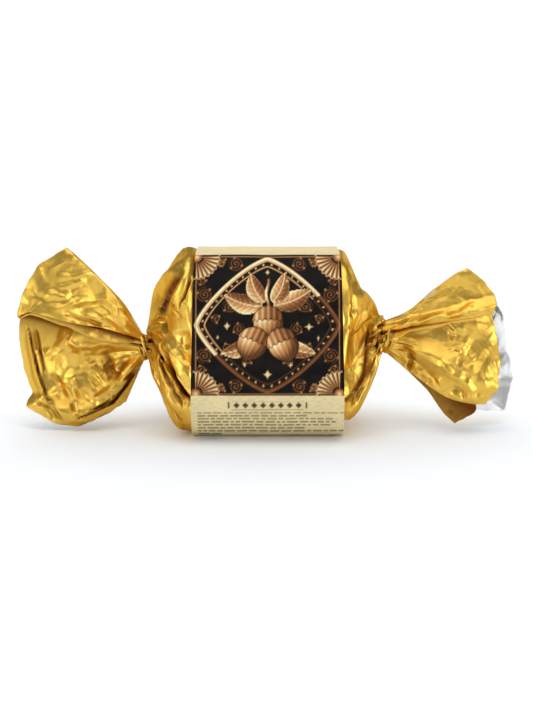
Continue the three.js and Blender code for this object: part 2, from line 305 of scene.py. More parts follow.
BODY_CREASES = (
    # left end: the facet beside the band, the gap under it and the straps below the knot
    *creases(
        CreaseKind.RIDGE,
        (0.7, 3.0, ((166.4, 318), (170, 342.5), (175.4, 357.7), (184.3, 376.4), (191, 388))),
        (0.5, 1.6, ((156, 356), (164.6, 372), (170, 386), (182, 402))),
        (0.5, 1.4, ((151, 362), (158, 378), (168, 396), (184, 414))),
        (0.5, 1.5, ((170, 312), (175, 297), (183, 280), (188, 270))),
        (0.4, 1.2, ((172, 316), (180, 308), (186, 300))),
    ),
    *creases(
        CreaseKind.VALLEY,
        (1.7, 1.3, ((166, 350), (170.5, 366), (174, 380), (182, 394), (193, 407))),
        (0.9, 0.7, ((153, 352), (162, 366), (168, 380), (176, 396), (186, 408))),
        (0.6, 0.8, ((160, 316), (164, 330), (168, 346))),
        (0.8, 0.5, ((192, 276), (186, 290), (181, 303), (179, 310))),
        (0.8, 0.5, ((137, 336), (142, 349), (147, 361))),
        (0.8, 0.5, ((146, 334), (151, 346), (157, 360))),
        (0.6, 0.4, ((141, 333), (147, 347), (152, 361))),
        (0.9, 0.6, ((146, 336), (150.4, 342.5), (158, 352), (165, 364))),
    ),
    *creases(
        CreaseKind.RIDGE,
        (0.8, 1.6, ((145, 336), (151, 331.8), (158.4, 331), (162, 342.5), (166, 360))),
    ),
    *creases(
        CreaseKind.HOLLOW,
        (0.9, 3.2, ((157, 318), (161, 328), (166, 344))),
        (0.5, 2.5, ((182, 330), (185, 350))),
    ),
    # right end: the broad facet beside the band, the recess behind it and the straps
    *creases(
        CreaseKind.RIDGE,
        (
            0.8,
            2.4,
            ((361.5, 286), (363.5, 310), (363.8, 330), (363.4, 352), (360.6, 375), (357, 392)),
        ),
        (0.5, 1.4, ((379, 350), (373, 371), (366, 386), (354, 406), (346, 418))),
        (0.35, 1.4, ((345, 262), (352, 276), (360, 289))),
        (0.3, 1.2, ((347, 300), (351, 320), (350, 336))),
    ),
    *creases(
        CreaseKind.VALLEY,
        (0.7, 0.6, ((344, 402), (352, 396), (358, 389))),
        (0.4, 0.7, ((352.4, 293.7), (354.5, 309), (352, 318))),
        (0.6, 0.7, ((375, 356), (369, 372), (361, 390), (350, 408))),
        (1.0, 0.6, ((378, 328), (383, 324), (389, 320))),
        (0.8, 0.5, ((376, 354), (384, 347), (393, 338))),
        (0.8, 0.5, ((371, 340), (380, 334), (390, 329))),
        (0.6, 0.4, ((374, 348), (383, 341), (392, 333))),
    ),
    *creases(CreaseKind.HOLLOW, (0.5, 1.8, ((349.5, 305), (349, 331)))),
    # gaps that are seen almost edge on, so they are shallow, with painted shade along them
    Crease(CreaseKind.VALLEY, ((370, 327), (369.5, 343), (368, 360)), 0.35, 1.0, dark=0.6),
    Crease(CreaseKind.VALLEY, ((374.5, 326), (374, 341), (372, 355)), 0.35, 0.8, dark=0.6),
    Crease(CreaseKind.VALLEY, ((379.5, 329), (379, 341), (376.5, 352)), 0.35, 0.6, dark=0.5),
    Crease(
        CreaseKind.VALLEY,
        ((181, 268), (175, 280), (169, 291), (163, 306), (159, 318)),
        height=0.45,
        width=2.6,
        dark=1.0,
    ),
    Crease(
        CreaseKind.VALLEY,
        ((367, 325), (366, 345), (364.5, 362), (361.5, 380), (356.5, 396), (352, 404)),
        height=0.6,
        width=2.2,
        dark=1.0,
    ),
)

LEFT_TAIL_CREASES = (
    # the rim's narrow strip and the bunched lower corner
    *creases(
        CreaseKind.VALLEY,
        (0.35, 0.6, ((24, 322), (27, 350), (33, 378), (43, 400))),
        (0.5, 0.6, ((34, 403), (48, 407), (60, 420))),
        (0.45, 0.5, ((52, 396), (55, 410), (64, 424))),
        (0.4, 0.5, ((45, 408), (54, 420))),
        (0.5, 0.6, ((76, 425), (94, 422), (110, 411))),
    ),
    *creases(
        CreaseKind.RIDGE,
        (0.35, 0.9, ((29, 326), (33, 352), (40, 380), (48, 398))),
        (0.4, 0.8, ((34, 398), (50, 401), (58, 410))),
        (0.35, 0.7, ((66, 424), (80, 416), (98, 412), (118, 398))),
    ),
    *creases(
        CreaseKind.RIDGE,
        (0.42, 1.6, ((45.5, 305), (57.6, 309), (75, 302.3), (93.7, 301), (113.8, 297))),
        (0.31, 1.2, ((56, 289), (72, 283.6), (87, 279.5))),
        (0.28, 1.2, ((57, 277), (75, 277), (93.7, 270))),
        (0.49, 1.8, ((85.7, 317), (101.8, 318.4), (118, 329), (134, 341))),
        (0.42, 1.5, ((44, 297), (53.5, 294), (63, 297), (72, 293))),
        (0.56, 2.2, ((63, 333), (44.5, 354.5), (46.2, 377))),
        (0.49, 1.6, ((65.6, 337), (80.4, 350.5), (85.7, 364), (92.4, 369.3), (103, 375.3))),
        (0.84, 2.4, ((116.5, 376), (128, 367), (139.3, 358.6))),
        (0.49, 1.4, ((69.6, 377.3), (75, 394.7), (79, 402.8))),
        (0.42, 1.3, ((80.4, 389.4), (93.7, 398.7), (111.2, 390.7), (124.5, 389.4))),
        (0.42, 1.2, ((96.4, 405.4), (113.8, 394.7))),
        (0.35, 1.0, ((52, 372), (60, 384), (66, 400))),
    ),
    *creases(
        CreaseKind.VALLEY,
        (0.81, 1.6, ((104.5, 350.5), (112.5, 372), (116.5, 376), (131.3, 354.6))),
        (0.54, 1.2, ((104.5, 364), (109.8, 380))),
        (0.54, 1.0, ((72.3, 401.4), (75, 413.5))),
        (0.54, 0.9, ((33.5, 323.7), (38.8, 350.5), (45.5, 377.3))),
        (0.45, 0.8, ((64, 313), (78, 318), (92, 322), (108, 329))),
    ),
    *creases(
        CreaseKind.HOLLOW,
        (0.65, 3.0, ((73.7, 315.7), (85.7, 306), (107, 304))),
        (0.65, 2.5, ((60, 330), (72, 336))),
        (0.45, 3.0, ((92, 384), (100, 378))),
    ),
    Crease(
        CreaseKind.LIP,
        ((143, 362), (130, 385), (116, 403), (85, 417), (72, 421)),
        height=1.6,
        width=3.0,
        overhang=0.5,
    ),
    Crease(
        CreaseKind.LIP,
        ((53, 411), (45, 395), (37, 372), (32, 350), (27, 321)),
        height=1.0,
        width=2.2,
        overhang=0.3,
    ),
)

RIGHT_TAIL_CREASES = (
    *creases(
        CreaseKind.RIDGE,
        (0.7, 1.0, ((390.3, 341), (402.4, 325), (413, 315.4))),
        (0.63, 0.8, ((397, 336.2), (407, 326.8), (418, 316.8))),
        (0.56, 0.9, ((410.4, 327), (431.8, 316.5), (445.2, 313.4))),
        (0.56, 0.9, ((445.2, 316), (458.6, 314), (474.7, 302))),
        (0.63, 3.5, ((399.7, 341.2), (425, 353), (450.6, 364), (477.4, 377.4))),
        (0.2, 0.6, ((446, 352), (455, 349), (464, 350.6))),
        (0.42, 1.4, ((437.2, 377.4), (441.2, 388), (446.6, 389.5))),
        (0.49, 1.4, ((464, 380), (472, 390.8), (470, 400))),
        (0.3, 1.1, ((482.8, 376), (486.8, 388), (481.4, 393.5))),
        (0.42, 1.2, ((446, 392), (458, 398), (474, 400), (488, 394))),
        (0.35, 1.3, ((440, 360), (452, 376), (466, 381))),
    ),
    *creases(
        CreaseKind.VALLEY,
        (0.63, 1.0, ((407, 372), (412, 360), (408, 350))),
        (0.35, 0.9, ((452, 386), (462, 392), (466, 402))),
        (0.25, 0.6, ((448, 331), (452, 338), (456, 334))),
    ),
    *creases(
        CreaseKind.HOLLOW,
        (0.78, 2.6, ((405, 343), (403.7, 352))),
        (0.78, 5.0, ((462, 350), (484, 362))),
        (0.39, 2.2, ((420, 372), (428, 382))),
    ),
)


@dataclass(frozen=True)
class Crumple:
    """Short random creases, each a low pyramid with flat sides, as crushed foil shows."""

    count: int
    length: tuple[float, float]
    width: tuple[float, float]
    height: float
    seed: int
    spread: float = 3.2

    def lift(self, places: np.ndarray, grain: float, share: np.ndarray) -> np.ndarray:
        """How far the creases raise the foil.

        Args:
            places: flat places in millimetres, the last axis of two.
            grain: the direction in radians that the creases tend to follow.
            share: how full of creases the foil is at each point, from 0 to 1.

        Returns:
            The rise at each point in millimetres.
        """
        rng = np.random.default_rng(self.seed)
        flat = places.reshape(-1, 2)
        picks = rng.integers(0, len(flat), self.count)
        kept = rng.random(self.count)
        turns = rng.uniform(-0.5, 0.5, self.count) * self.spread
        lengths = rng.uniform(*self.length, self.count)
        widths = rng.uniform(*self.width, self.count)
        signs = rng.choice([-1.0, 1.0], self.count) * rng.uniform(0.4, 1.0, self.count)
        total = np.zeros(len(flat))
        for i, pick in enumerate(picks):
            if kept[i] > share.reshape(-1)[pick]:
                continue
            angle = turns[i] + grain
            away = flat - flat[pick]
            reach = np.abs(away @ np.array([math.cos(angle), math.sin(angle)])) / lengths[i]
            gap = np.abs(away @ np.array([-math.sin(angle), math.cos(angle)])) / widths[i]
            total += signs[i] * np.clip(1 - reach - gap, 0, None)
        return self.height * total.reshape(places.shape[:-1])


@dataclass(frozen=True)
class Facets:
    """Flat three-cornered facets with sharp edges, as foil shows that was crushed and smoothed."""

    size: float
    slope: float
    seed: int
    grain: float = 1.0

    @staticmethod
    def patch(heights: np.ndarray, spot: np.ndarray) -> np.ndarray:
        """Heights at the corners of a triangle lattice, read as flat facets.

        Args:
            heights: a square table of corner heights.
            spot: places in cells of the lattice, the last axis of two.

        Returns:
            The height at each place.
        """
        spot = spot + 0.366 * spot.sum(axis=-1, keepdims=True)
        cell = np.floor(spot).astype(int)
        u, v = np.moveaxis(spot - cell, -1, 0)
        i, j = np.moveaxis(cell % len(heights), -1, 0)
        k, m = np.moveaxis((cell + 1) % len(heights), -1, 0)
        under = heights[i, j] * (1 - u) + heights[k, j] * (u - v) + heights[k, m] * v
        over = heights[i, j] * (1 - v) + heights[i, m] * (v - u) + heights[k, m] * u
        return np.where(u > v, under, over)

    def lift(self, places: np.ndarray) -> np.ndarray:
        """How far the facets raise the foil.

        Args:
            places: flat places in millimetres, the last axis of two.

        Returns:
            The rise at each point in millimetres.
        """
        rng = np.random.default_rng(self.seed)
        heights = rng.uniform(-1, 1, (3, 61, 61))
        spot = places * np.array([self.grain, 1.0]) / self.size + rng.uniform(0, 50, 2)
        bent = np.stack([self.patch(heights[k], 0.6 * spot + 17 * k) for k in (1, 2)], axis=-1)
        return self.slope * self.size * self.patch(heights[0], spot + 0.5 * bent)


def painted_shade_tint(dark: np.ndarray) -> np.ndarray:
    """The painted shade of foil: a dark brown tint where creases and gaps would fall into shade.

    Args:
        dark: how much painted shade each point gets, from 0 to 1.

    Returns:
        A red, green and blue share for each point.
    """
    dark = np.clip(dark, 0, 1)[..., None]
    return 1 - dark * (1 - np.array([0.20, 0.085, 0.0]))


def ripple(places: np.ndarray, size: float, seed: int, waves: int = 14) -> np.ndarray:
    """Soft random swelling of a surface.

    Args:
        places: places in millimetres, on the last axis.
        size: how far apart the swells are.
        seed: which of the random patterns.
        waves: how many waves are laid over one another.

    Returns:
        The swell at each place, mostly between -1 and 1.
    """
    rng = np.random.default_rng(seed)
    ways = rng.normal(size=(waves, places.shape[-1]))
    ways /= np.linalg.norm(ways, axis=1, keepdims=True)
    ways *= rng.uniform(0.6, 1.6, (waves, 1)) * (2 * math.pi / size)
    phases = rng.uniform(0, 2 * math.pi, waves)
    return np.sin(places @ ways.T + phases).sum(axis=-1) / math.sqrt(waves)


def mesh_object(
    name: str,
    points: np.ndarray,
    faces: np.ndarray,
    materials: list[bpy.types.Material],
    colours: np.ndarray,
    dressed: np.ndarray | None = None,
) -> bpy.types.Object:
    """A smooth mesh piece.

    Args:
        name: the piece's name.
        points: its vertices in millimetres, in any number of rows.
        faces: its faces, all with as many corners.
        materials: its finishes.
        colours: a red, green and blue share for each vertex.
        dressed: which finish each face has, the first where not given.

    Returns:
        The object, linked to the scene.
    """
    mesh = bpy.data.meshes.new(name)
    points = points.reshape(-1, 3) * MM
    mesh.vertices.add(len(points))
    mesh.vertices.foreach_set("co", points.astype(np.float32).ravel())
    mesh.loops.add(faces.size)
    mesh.loops.foreach_set("vertex_index", faces.astype(np.int32).ravel())
    mesh.polygons.add(len(faces))
    starts = np.arange(0, faces.size, faces.shape[1], dtype=np.int32)
    mesh.polygons.foreach_set("loop_start", starts)
    mesh.polygons.foreach_set("use_smooth", np.ones(len(faces), bool))
    if dressed is not None:
        mesh.polygons.foreach_set("material_index", dressed.astype(np.int32))
    for material in materials:
        mesh.materials.append(material)
    layer = mesh.color_attributes.new(TINT, "FLOAT_COLOR", "POINT")
    filled = np.ones((len(points), 4), np.float32)
    filled[:, :3] = colours.reshape(-1, 3)
    layer.data.foreach_set("color", filled.ravel())
    mesh.update(calc_edges=True)
    mesh.validate()
    piece = bpy.data.objects.new(name, mesh)
    bpy.context.scene.collection.objects.link(piece)
    return piece


def tube_faces(rows: int, columns: int) -> np.ndarray:
    """The quads between the rings of a tube.

    Args:
        rows: how many rings it has.
        columns: how many points a ring has.

    Returns:
        The corner numbers of each quad.
    """
    r, c = np.meshgrid(np.arange(rows - 1), np.arange(columns), indexing="ij")
    here = r * columns + c
    beside = r * columns + (c + 1) % columns
    return np.stack([here, beside, beside + columns, here + columns], axis=-1).reshape(-1, 4)


def halved(quads: np.ndarray, second: bool) -> np.ndarray:
    """Quads cut into triangles.

    Args:
        quads: the corner numbers of each quad.
        second: cuts from the second corner to the fourth, and not from the first to the third.

    Returns:
        The corner numbers of each triangle.
    """
    picks = ((0, 1, 3), (1, 2, 3)) if second else ((0, 1, 2), (0, 2, 3))
    return np.concatenate([quads[:, list(pick)] for pick in picks])


def tree_of(name: str) -> tuple[bpy.types.Material, bpy.types.NodeTree, bpy.types.Node]:
    """A new material with its nodes.

    Args:
        name: the material's name.

    Returns:
        The material, its node tree and its main shader.
    """
    material = bpy.data.materials.new(name)
    material.use_nodes = True
    tree = material.node_tree
    return material, tree, tree.nodes["Principled BSDF"]


def settle(node: bpy.types.Node, values: dict[str | int, object]) -> None:
    """Sets the fixed values of a node's sockets.

    Args:
        node: the node.
        values: the value of each socket, by its name or number.
    """
    for socket, value in values.items():
        node.inputs[socket].default_value = value


def add_node(
    tree: bpy.types.NodeTree,
    kind: str,
    values: dict[str | int, object],
    sources: dict[str | int, bpy.types.NodeSocket],
    **options: object,
) -> bpy.types.Node:
    """Adds a node to a tree.

    Args:
        tree: the node tree.
        kind: what it is, without the words that every shader node's type starts with.
        values: the fixed value of each socket, by its name or number.
        sources: what feeds each linked socket, by its name or number.
        options: the node's own properties.

    Returns:
        The node.
    """
    node = tree.nodes.new("ShaderNode" + kind)
    for option, value in options.items():
        setattr(node, option, value)
    settle(node, values)
    for socket, source in sources.items():
        tree.links.new(source, node.inputs[socket])
    return node


@dataclass(frozen=True)
class FoilFinish:
    """Thin metal foil with soft gloss, finely dented, its colour multiplied by the mesh's painted
    shade.
    """

    name: str
    colour: tuple[float, float, float]
    worn: tuple[float, float, float]
    edge: tuple[float, float, float]
    roughness: tuple[float, float]
    coat: float
    dent: float
    coat_roughness: float = 0.3
    dent_depth: float = 0.0004

    def material(self) -> bpy.types.Material:
        """Builds the material.

        Returns:
            The material.
        """
        material, tree, shader = tree_of(self.name)
        place = {"Vector": add_node(tree, "TexCoord", {}, {}).outputs["Object"]}
        broad = add_node(tree, "TexNoise", {"Scale": 160, "Detail": 3}, place).outputs["Fac"]
        tone = add_node(
            tree,
            "Mix",
            {"A": (*self.colour, 1), "B": (*self.worn, 1)},
            {"Factor": broad},
            data_type="RGBA",
        )
        # the vertex colour carries painted shade, which darkens creases and gaps
        tint = add_node(tree, "VertexColor", {}, {}, layer_name=TINT)
        shaded = add_node(
            tree,
            "Mix",
            {"Factor": 1.0},
            {"A": tone.outputs["Result"], "B": tint.outputs["Color"]},
            data_type="RGBA",
            blend_type="MULTIPLY",
        )
        sheen = add_node(
            tree,
            "MapRange",
            {
                "From Min": 0.3,
                "From Max": 0.7,
                "To Min": self.roughness[0],
                "To Max": self.roughness[1],
            },
            {"Value": broad},
        )
        bump = self.dents(tree, place)
        tree.links.new(shaded.outputs["Result"], shader.inputs["Base Color"])
        tree.links.new(sheen.outputs["Result"], shader.inputs["Roughness"])
        tree.links.new(bump.outputs["Normal"], shader.inputs["Normal"])
        gloss = {"Coat Weight": self.coat, "Coat Roughness": self.coat_roughness}
        settle(shader, {"Metallic": 1.0, "Specular Tint": (*self.edge, 1), **gloss})
        return material

    def dents(
        self, tree: bpy.types.NodeTree, place: dict[str, bpy.types.NodeSocket]
    ) -> bpy.types.Node:
        """Adds the fine dents: small sharp facets in patches, over fine ridges.

        Args:
            tree: the material's node tree.
            place: the link that gives a texture its place.

        Returns:
            The bump node.
        """
        ridges = add_node(
            tree,
            "TexNoise",
            {"Scale": 420, "Detail": 3, "Distortion": 0.4},
            place,
            noise_type="RIDGED_MULTIFRACTAL",
            normalize=True,
        )
        facets = add_node(tree, "TexVoronoi", {"Scale": 330}, place, feature="DISTANCE_TO_EDGE")
        spread = add_node(tree, "TexNoise", {"Scale": 70}, place)
        crushed = add_node(
            tree, "MapRange", {"From Min": 0.4, "From Max": 0.65}, {"Value": spread.outputs["Fac"]}
        )
        patches = add_node(
            tree,
            "Math",
            {},
            {0: facets.outputs["Distance"], 1: crushed.outputs["Result"]},
            operation="MULTIPLY",
        )
        height = add_node(
            tree,
            "Math",
            {1: 0.3},
            {0: ridges.outputs["Fac"], 2: patches.outputs["Value"]},
            operation="MULTIPLY_ADD",
        )
        return add_node(
            tree,
            "Bump",
            {"Strength": self.dent, "Distance": self.dent_depth},
            {"Height": height.outputs["Value"]},
        )


@dataclass(frozen=True)
class PaperFinish:
    """Printed uncoated paper with a faint mottle and a fine tooth."""

    name: str
    mottle: float
    roughness: float
    tooth: float
    tooth_depth: float = 0.00005
    gloss: float = 0.12

    def material(self) -> bpy.types.Material:
        """Builds the material.

        Returns:
            The material.
        """
        material, tree, shader = tree_of(self.name)
        place = {"Vector": add_node(tree, "TexCoord", {}, {}).outputs["Object"]}
        cloud = add_node(tree, "TexNoise", {"Scale": 260, "Detail": 5}, place)
        shade = add_node(
            tree,
            "MapRange",
            {"From Min": 0.3, "From Max": 0.7, "To Min": 1 - self.mottle, "To Max": 1.0},
            {"Value": cloud.outputs["Fac"]},
        )
        ink = add_node(tree, "VertexColor", {}, {}, layer_name=TINT)
        tone = add_node(
            tree,
            "Mix",
            {"Factor": 1.0},
            {"A": ink.outputs["Color"], "B": shade.outputs["Result"]},
            data_type="RGBA",
            blend_type="MULTIPLY",
        )
        grain = add_node(tree, "TexNoise", {"Scale": 3000}, place)
        bump = add_node(
            tree,
            "Bump",
            {"Strength": self.tooth, "Distance": self.tooth_depth},
            {"Height": grain.outputs["Fac"]},
        )
        tree.links.new(tone.outputs["Result"], shader.inputs["Base Color"])
        tree.links.new(bump.outputs["Normal"], shader.inputs["Normal"])
        settle(shader, {"Roughness": self.roughness, "Specular IOR Level": self.gloss})
        return material


GOLD = FoilFinish(
    name="gold_foil",
    colour=(0.82, 0.52, 0.09),
    worn=(0.70, 0.43, 0.06),
    edge=(0.9, 0.62, 0.22),
    roughness=(0.31, 0.44),
    coat=0.18,
    dent=0.7,
)
SILVER = FoilFinish(
    name="silver_foil_back",
    colour=(0.97, 0.97, 0.97),
    worn=(0.9, 0.9, 0.91),
    edge=(1, 1, 1),
    roughness=(0.3, 0.45),
    coat=0.3,
    dent=0.5,
)
PARCHMENT = PaperFinish("parchment_paper", mottle=0.1, roughness=0.7, tooth=0.5)


@dataclass(frozen=True)
class Shoulder:
    """One end of the sweet, where the foil is gathered in pleats to a twisted neck."""

    side: int
    neck_radius: float
    profile: tuple[tuple[float, float, float], ...]
    crests: tuple[float, ...]
    pleat_depth: float
    swirl: float
    neck_length: float = 2.6
    neck_twist: float = 0.8
    strands: int = 5
    strand_height: float = 0.55
    crumple: float = 1.0
    press: float = 1.8
    seed: int = 1

    def turned(self, share: np.ndarray) -> np.ndarray:
        """How far the pleats have turned at a share of the shoulder, in radians."""
        return math.radians(self.swirl) * share * share

    def pleats(self, angle: np.ndarray) -> np.ndarray:
        """The pleats' lift round the section.

        Args:
            angle: radians round the section.

        Returns:
            The lift at each angle, 1 on a crest and 0 in a valley.
        """
        crests = np.radians(np.asarray(self.crests, float))
        closed = np.concatenate([crests, [crests[0] + 2 * math.pi]])
        wrapped = (angle - crests[0]) % (2 * math.pi) + crests[0]
        i = np.clip(np.searchsorted(closed, wrapped, side="right") - 1, 0, len(crests) - 1)
        share = (wrapped - closed[i]) / (closed[i + 1] - closed[i])
        return np.abs(1 - 2 * share)

    def ring(self, angle: np.ndarray, share: np.ndarray) -> np.ndarray:
        """Points of the shoulder.

        Args:
            angle: radians round the section where it leaves the band.
            share: 0 at the band and 1 at the neck.

        Returns:
            The points in millimetres, for each share and angle.
        """
        stations = np.array(self.profile)
        angle, share = np.meshgrid(angle, share)
        x = stations[0, 0] + (stations[-1, 0] - stations[0, 0]) * share
        scale = curve(stations[:, 0], stations[:, 1], x)
        middle = curve(stations[:, 0], stations[:, 2], x)
        slope = curve(stations[:, 0], stations[:, 1], x + 0.3)
        slope = slope - curve(stations[:, 0], stations[:, 1], x - 0.3)
        out_x, out_r = -slope * RISE, 0.6
        norm = np.sqrt(out_x**2 + out_r**2)
        rise = self.pleat_depth * smooth(share, 0, 0.4) * (1 - 0.75 * smooth(share, 0.65, 1))
        lift = rise * (self.pleats(angle) - 0.85)
        forward, up = section(angle + self.turned(share), BARREL_INSET)
        wide = scale + lift * (out_r / norm) / RISE
        floor = BARREL_INSET * (1 - smooth(share, 0, 0.15)) + FLOOR_GAP
        z = np.maximum(middle + up * wide, floor)
        return np.stack([self.side * (x + lift * out_x / norm), -forward * wide, z], axis=-1)

    def neck(self, angle: np.ndarray, share: np.ndarray) -> np.ndarray:
        """Points of the twisted neck.

        Args:
            angle: radians round the section where it leaves the band.
            share: 0 where the shoulder ends and 1 at the neck's outer end.

        Returns:
            The points in millimetres, for each share and angle.
        """
        x, _, z = self.profile[-1]
        angle, share = np.meshgrid(angle, share)
        out = share * self.neck_length
        lobes = np.abs(np.sin(0.5 * self.strands * angle + 0.9 * np.sin(angle))) ** 0.55
        radius = self.neck_radius + self.strand_height * (2 * lobes - 1.2)
        radius = radius * (1 - 0.35 * smooth(share, 0.8, 1.0))
        turned = angle + self.turned(1) + self.neck_twist * out
        return np.stack(
            [self.side * (x + out), -radius * np.cos(turned), z + radius * np.sin(turned)], axis=-1
        )

    def closing(self, angle: np.ndarray) -> np.ndarray:
        """The rings that close the neck's outer end.

        Args:
            angle: radians round the section where it leaves the band.

        Returns:
            The points in millimetres, for each ring and angle.
        """
        last = self.neck(angle, np.array([1.0]))[0]
        x, _, z = self.profile[-1]
        middle = np.array([self.side * (x + self.neck_length - 0.3), 0, z])
        return np.stack([last + (middle - last) * s for s in (0.25, 0.5, 0.75, 0.98)])


LEFT_SHOULDER = Shoulder(
    side=-1,
    neck_radius=2.9,
    profile=(
        (17.5, 1, 17),
        (19.4, 0.945, 18.6),
        (21.2, 0.895, 18.7),
        (22.9, 0.8, 18.6),
        (24.6, 0.69, 18.4),
        (26.4, 0.545, 19),
        (28.1, 0.36, 19.6),
        (29.4, 0.15, 19.7),
    ),
    crests=(-155, -112, -72, -38, 8, 50, 88, 124, 165),
    pleat_depth=1.9,
    swirl=65,
    seed=3,
)
RIGHT_SHOULDER = Shoulder(
    side=1,
    neck_radius=3.8,
    profile=(
        (17.5, 1, 17),
        (18.7, 0.94, 17.9),
        (20.4, 0.85, 17.2),
        (22.2, 0.73, 17.1),
        (23.9, 0.585, 17.6),
        (25.6, 0.415, 18.6),
        (27.3, 0.25, 20.6),
        (28.4, 0.18, 22.4),
    ),
    crests=(-170, -126, -84, -50, -2, 44, 84, 116, 150),
    pleat_depth=1.7,
    swirl=60,
    crumple=0.8,
    press=1.4,
    seed=7,
)


@dataclass
class FoilBody:
    """The foil round the sweet itself, from one neck to the other.

    Its crumples are laid out on a flat pattern as long as the foil and as wide as a mean turn.
    """

    left: Shoulder
    right: Shoulder
    columns: int = 400
    shoulder_rows: int = 92
    neck_rows: int = 16
    barrel_rows: int = 8
    mean_radius: float = 17.5
    foil_length: float = 27.0
    creases: tuple[Crease, ...] = BODY_CREASES

    def end(self, shoulder: Shoulder, angle: np.ndarray) -> tuple[np.ndarray, np.ndarray]:
        """One shoulder with its neck, from the band outwards.

        Args:
            shoulder: the end to build.
            angle: radians round the section.

        Returns:
            Its rings in millimetres, and how much painted shade each point gets.
        """
        share = np.linspace(0, 1, self.shoulder_rows)
        rings = shoulder.ring(angle, share)
        neck = shoulder.neck(angle, np.linspace(0, 1, self.neck_rows + 1)[1:])
        fade = smooth(np.arange(1, self.neck_rows + 1), 0, 5)[:, None, None]
        neck = rings[-1:] * (1 - fade) + neck * fade
        rings = np.concatenate([rings, neck])
        normals = grid_normals(rings)
        rows = np.arange(len(rings))[:, None] / (self.shoulder_rows - 1)
        around, along = np.meshgrid(angle * self.mean_radius, rows * self.foil_length)
        flat = np.stack([around, along], axis=-1)
        busy = smooth(ripple(flat, 34, shoulder.seed + 5), -1.2, 1.2)
        broad = Facets(size=12, slope=0.26, seed=shoulder.seed)
        middling = Facets(size=5, slope=0.13, seed=shoulder.seed + 1)
        fine = Facets(size=2.2, slope=0.08, seed=shoulder.seed + 2)
        short = Crumple(
            count=260,
            length=(2, 8),
            width=(0.35, 0.6),
            height=0.17,
            seed=shoulder.seed + 12,
            spread=1.6,
        )
        lift = broad.lift(flat * np.array([1.0, 0.5]))
        lift += middling.lift(flat * np.array([1.0, 0.6])) * (0.2 + 0.8 * busy)
        lift += fine.lift(flat) * busy
        lift += short.lift(flat, math.pi / 2, busy)
        near = np.clip(rows, 0, 1)
        lift *= (1 - 0.7 * smooth(near, 0.6, 1)) * (0.25 + 0.75 * smooth(near, 0, 0.12))
        lift *= shoulder.crumple
        lift *= 1 - smooth(rows, 1, 1.06)
        rings = rings + normals * lift[..., None]
        return self.creased(rings, normals, shoulder.press)

    def creased(
        self, rings: np.ndarray, normals: np.ndarray, press: float
    ) -> tuple[np.ndarray, np.ndarray]:
        """Presses the drawn creases into what faces the camera, and gathers their painted shade.

        Args:
            rings: the shoulder's points.
            normals: the shoulder's normals before it was crumpled.
            press: how strongly they are pressed in.

        Returns:
            The creased points, and how much painted shade each one gets.
        """
        seen = pictured(rings)
        facing = smooth(-normals[..., 1], 0.0, 0.14)
        painted_shade = np.zeros(rings.shape[:-1])
        for crease in self.creases:
            lift, shift, dark = crease.lift(seen)
            rings = rings + normals * (press * lift * facing)[..., None]
            rings[..., 0] += shift[..., 0] * facing
            rings[..., 2] -= shift[..., 1] * facing
            painted_shade = np.maximum(painted_shade, dark * facing)
        return rings, painted_shade

    def build(self) -> bpy.types.Object:
        """Builds the piece.

        Returns:
            The piece.
        """
        angle = np.linspace(0, 2 * math.pi, self.columns, endpoint=False)
        left, left_painted_shade = self.end(self.left, angle)
        right, right_painted_shade = self.end(self.right, angle)
        share = np.linspace(0, 1, self.barrel_rows + 2)[1:-1, None, None]
        barrel = left[:1] * (1 - share) + right[:1] * share
        first, last = self.left.closing(angle)[::-1], self.right.closing(angle)
        rings = np.concatenate([first, left[::-1], barrel, right, last])
        rings[..., 2] = np.maximum(rings[..., 2], FLOOR_GAP)
        plain = [np.zeros(part.shape[:2]) for part in (first, barrel, last)]
        painted_shade = np.concatenate([plain[0], left_painted_shade[::-1], plain[1], right_painted_shade, plain[2]])
        faces = tube_faces(len(rings), self.columns)
        return mesh_object("foil_body", rings, faces, [GOLD.material()], painted_shade_tint(painted_shade))


@dataclass(frozen=True)
class Fold:
    """One fold of a tail, from the neck to the rim.

    Its angle is in degrees above level. Its depths are those at the tail's last four stations,
    and its bends those at the middle three.
    """

    angle: float
    reach: float
    depth: tuple[float, float, float, float]
    bend: tuple[float, float, float] = (0.0, 0.0, 0.0)
    # dark: painted shade laid along this fold, fading across to the folds beside it
    dark: float = 0.0


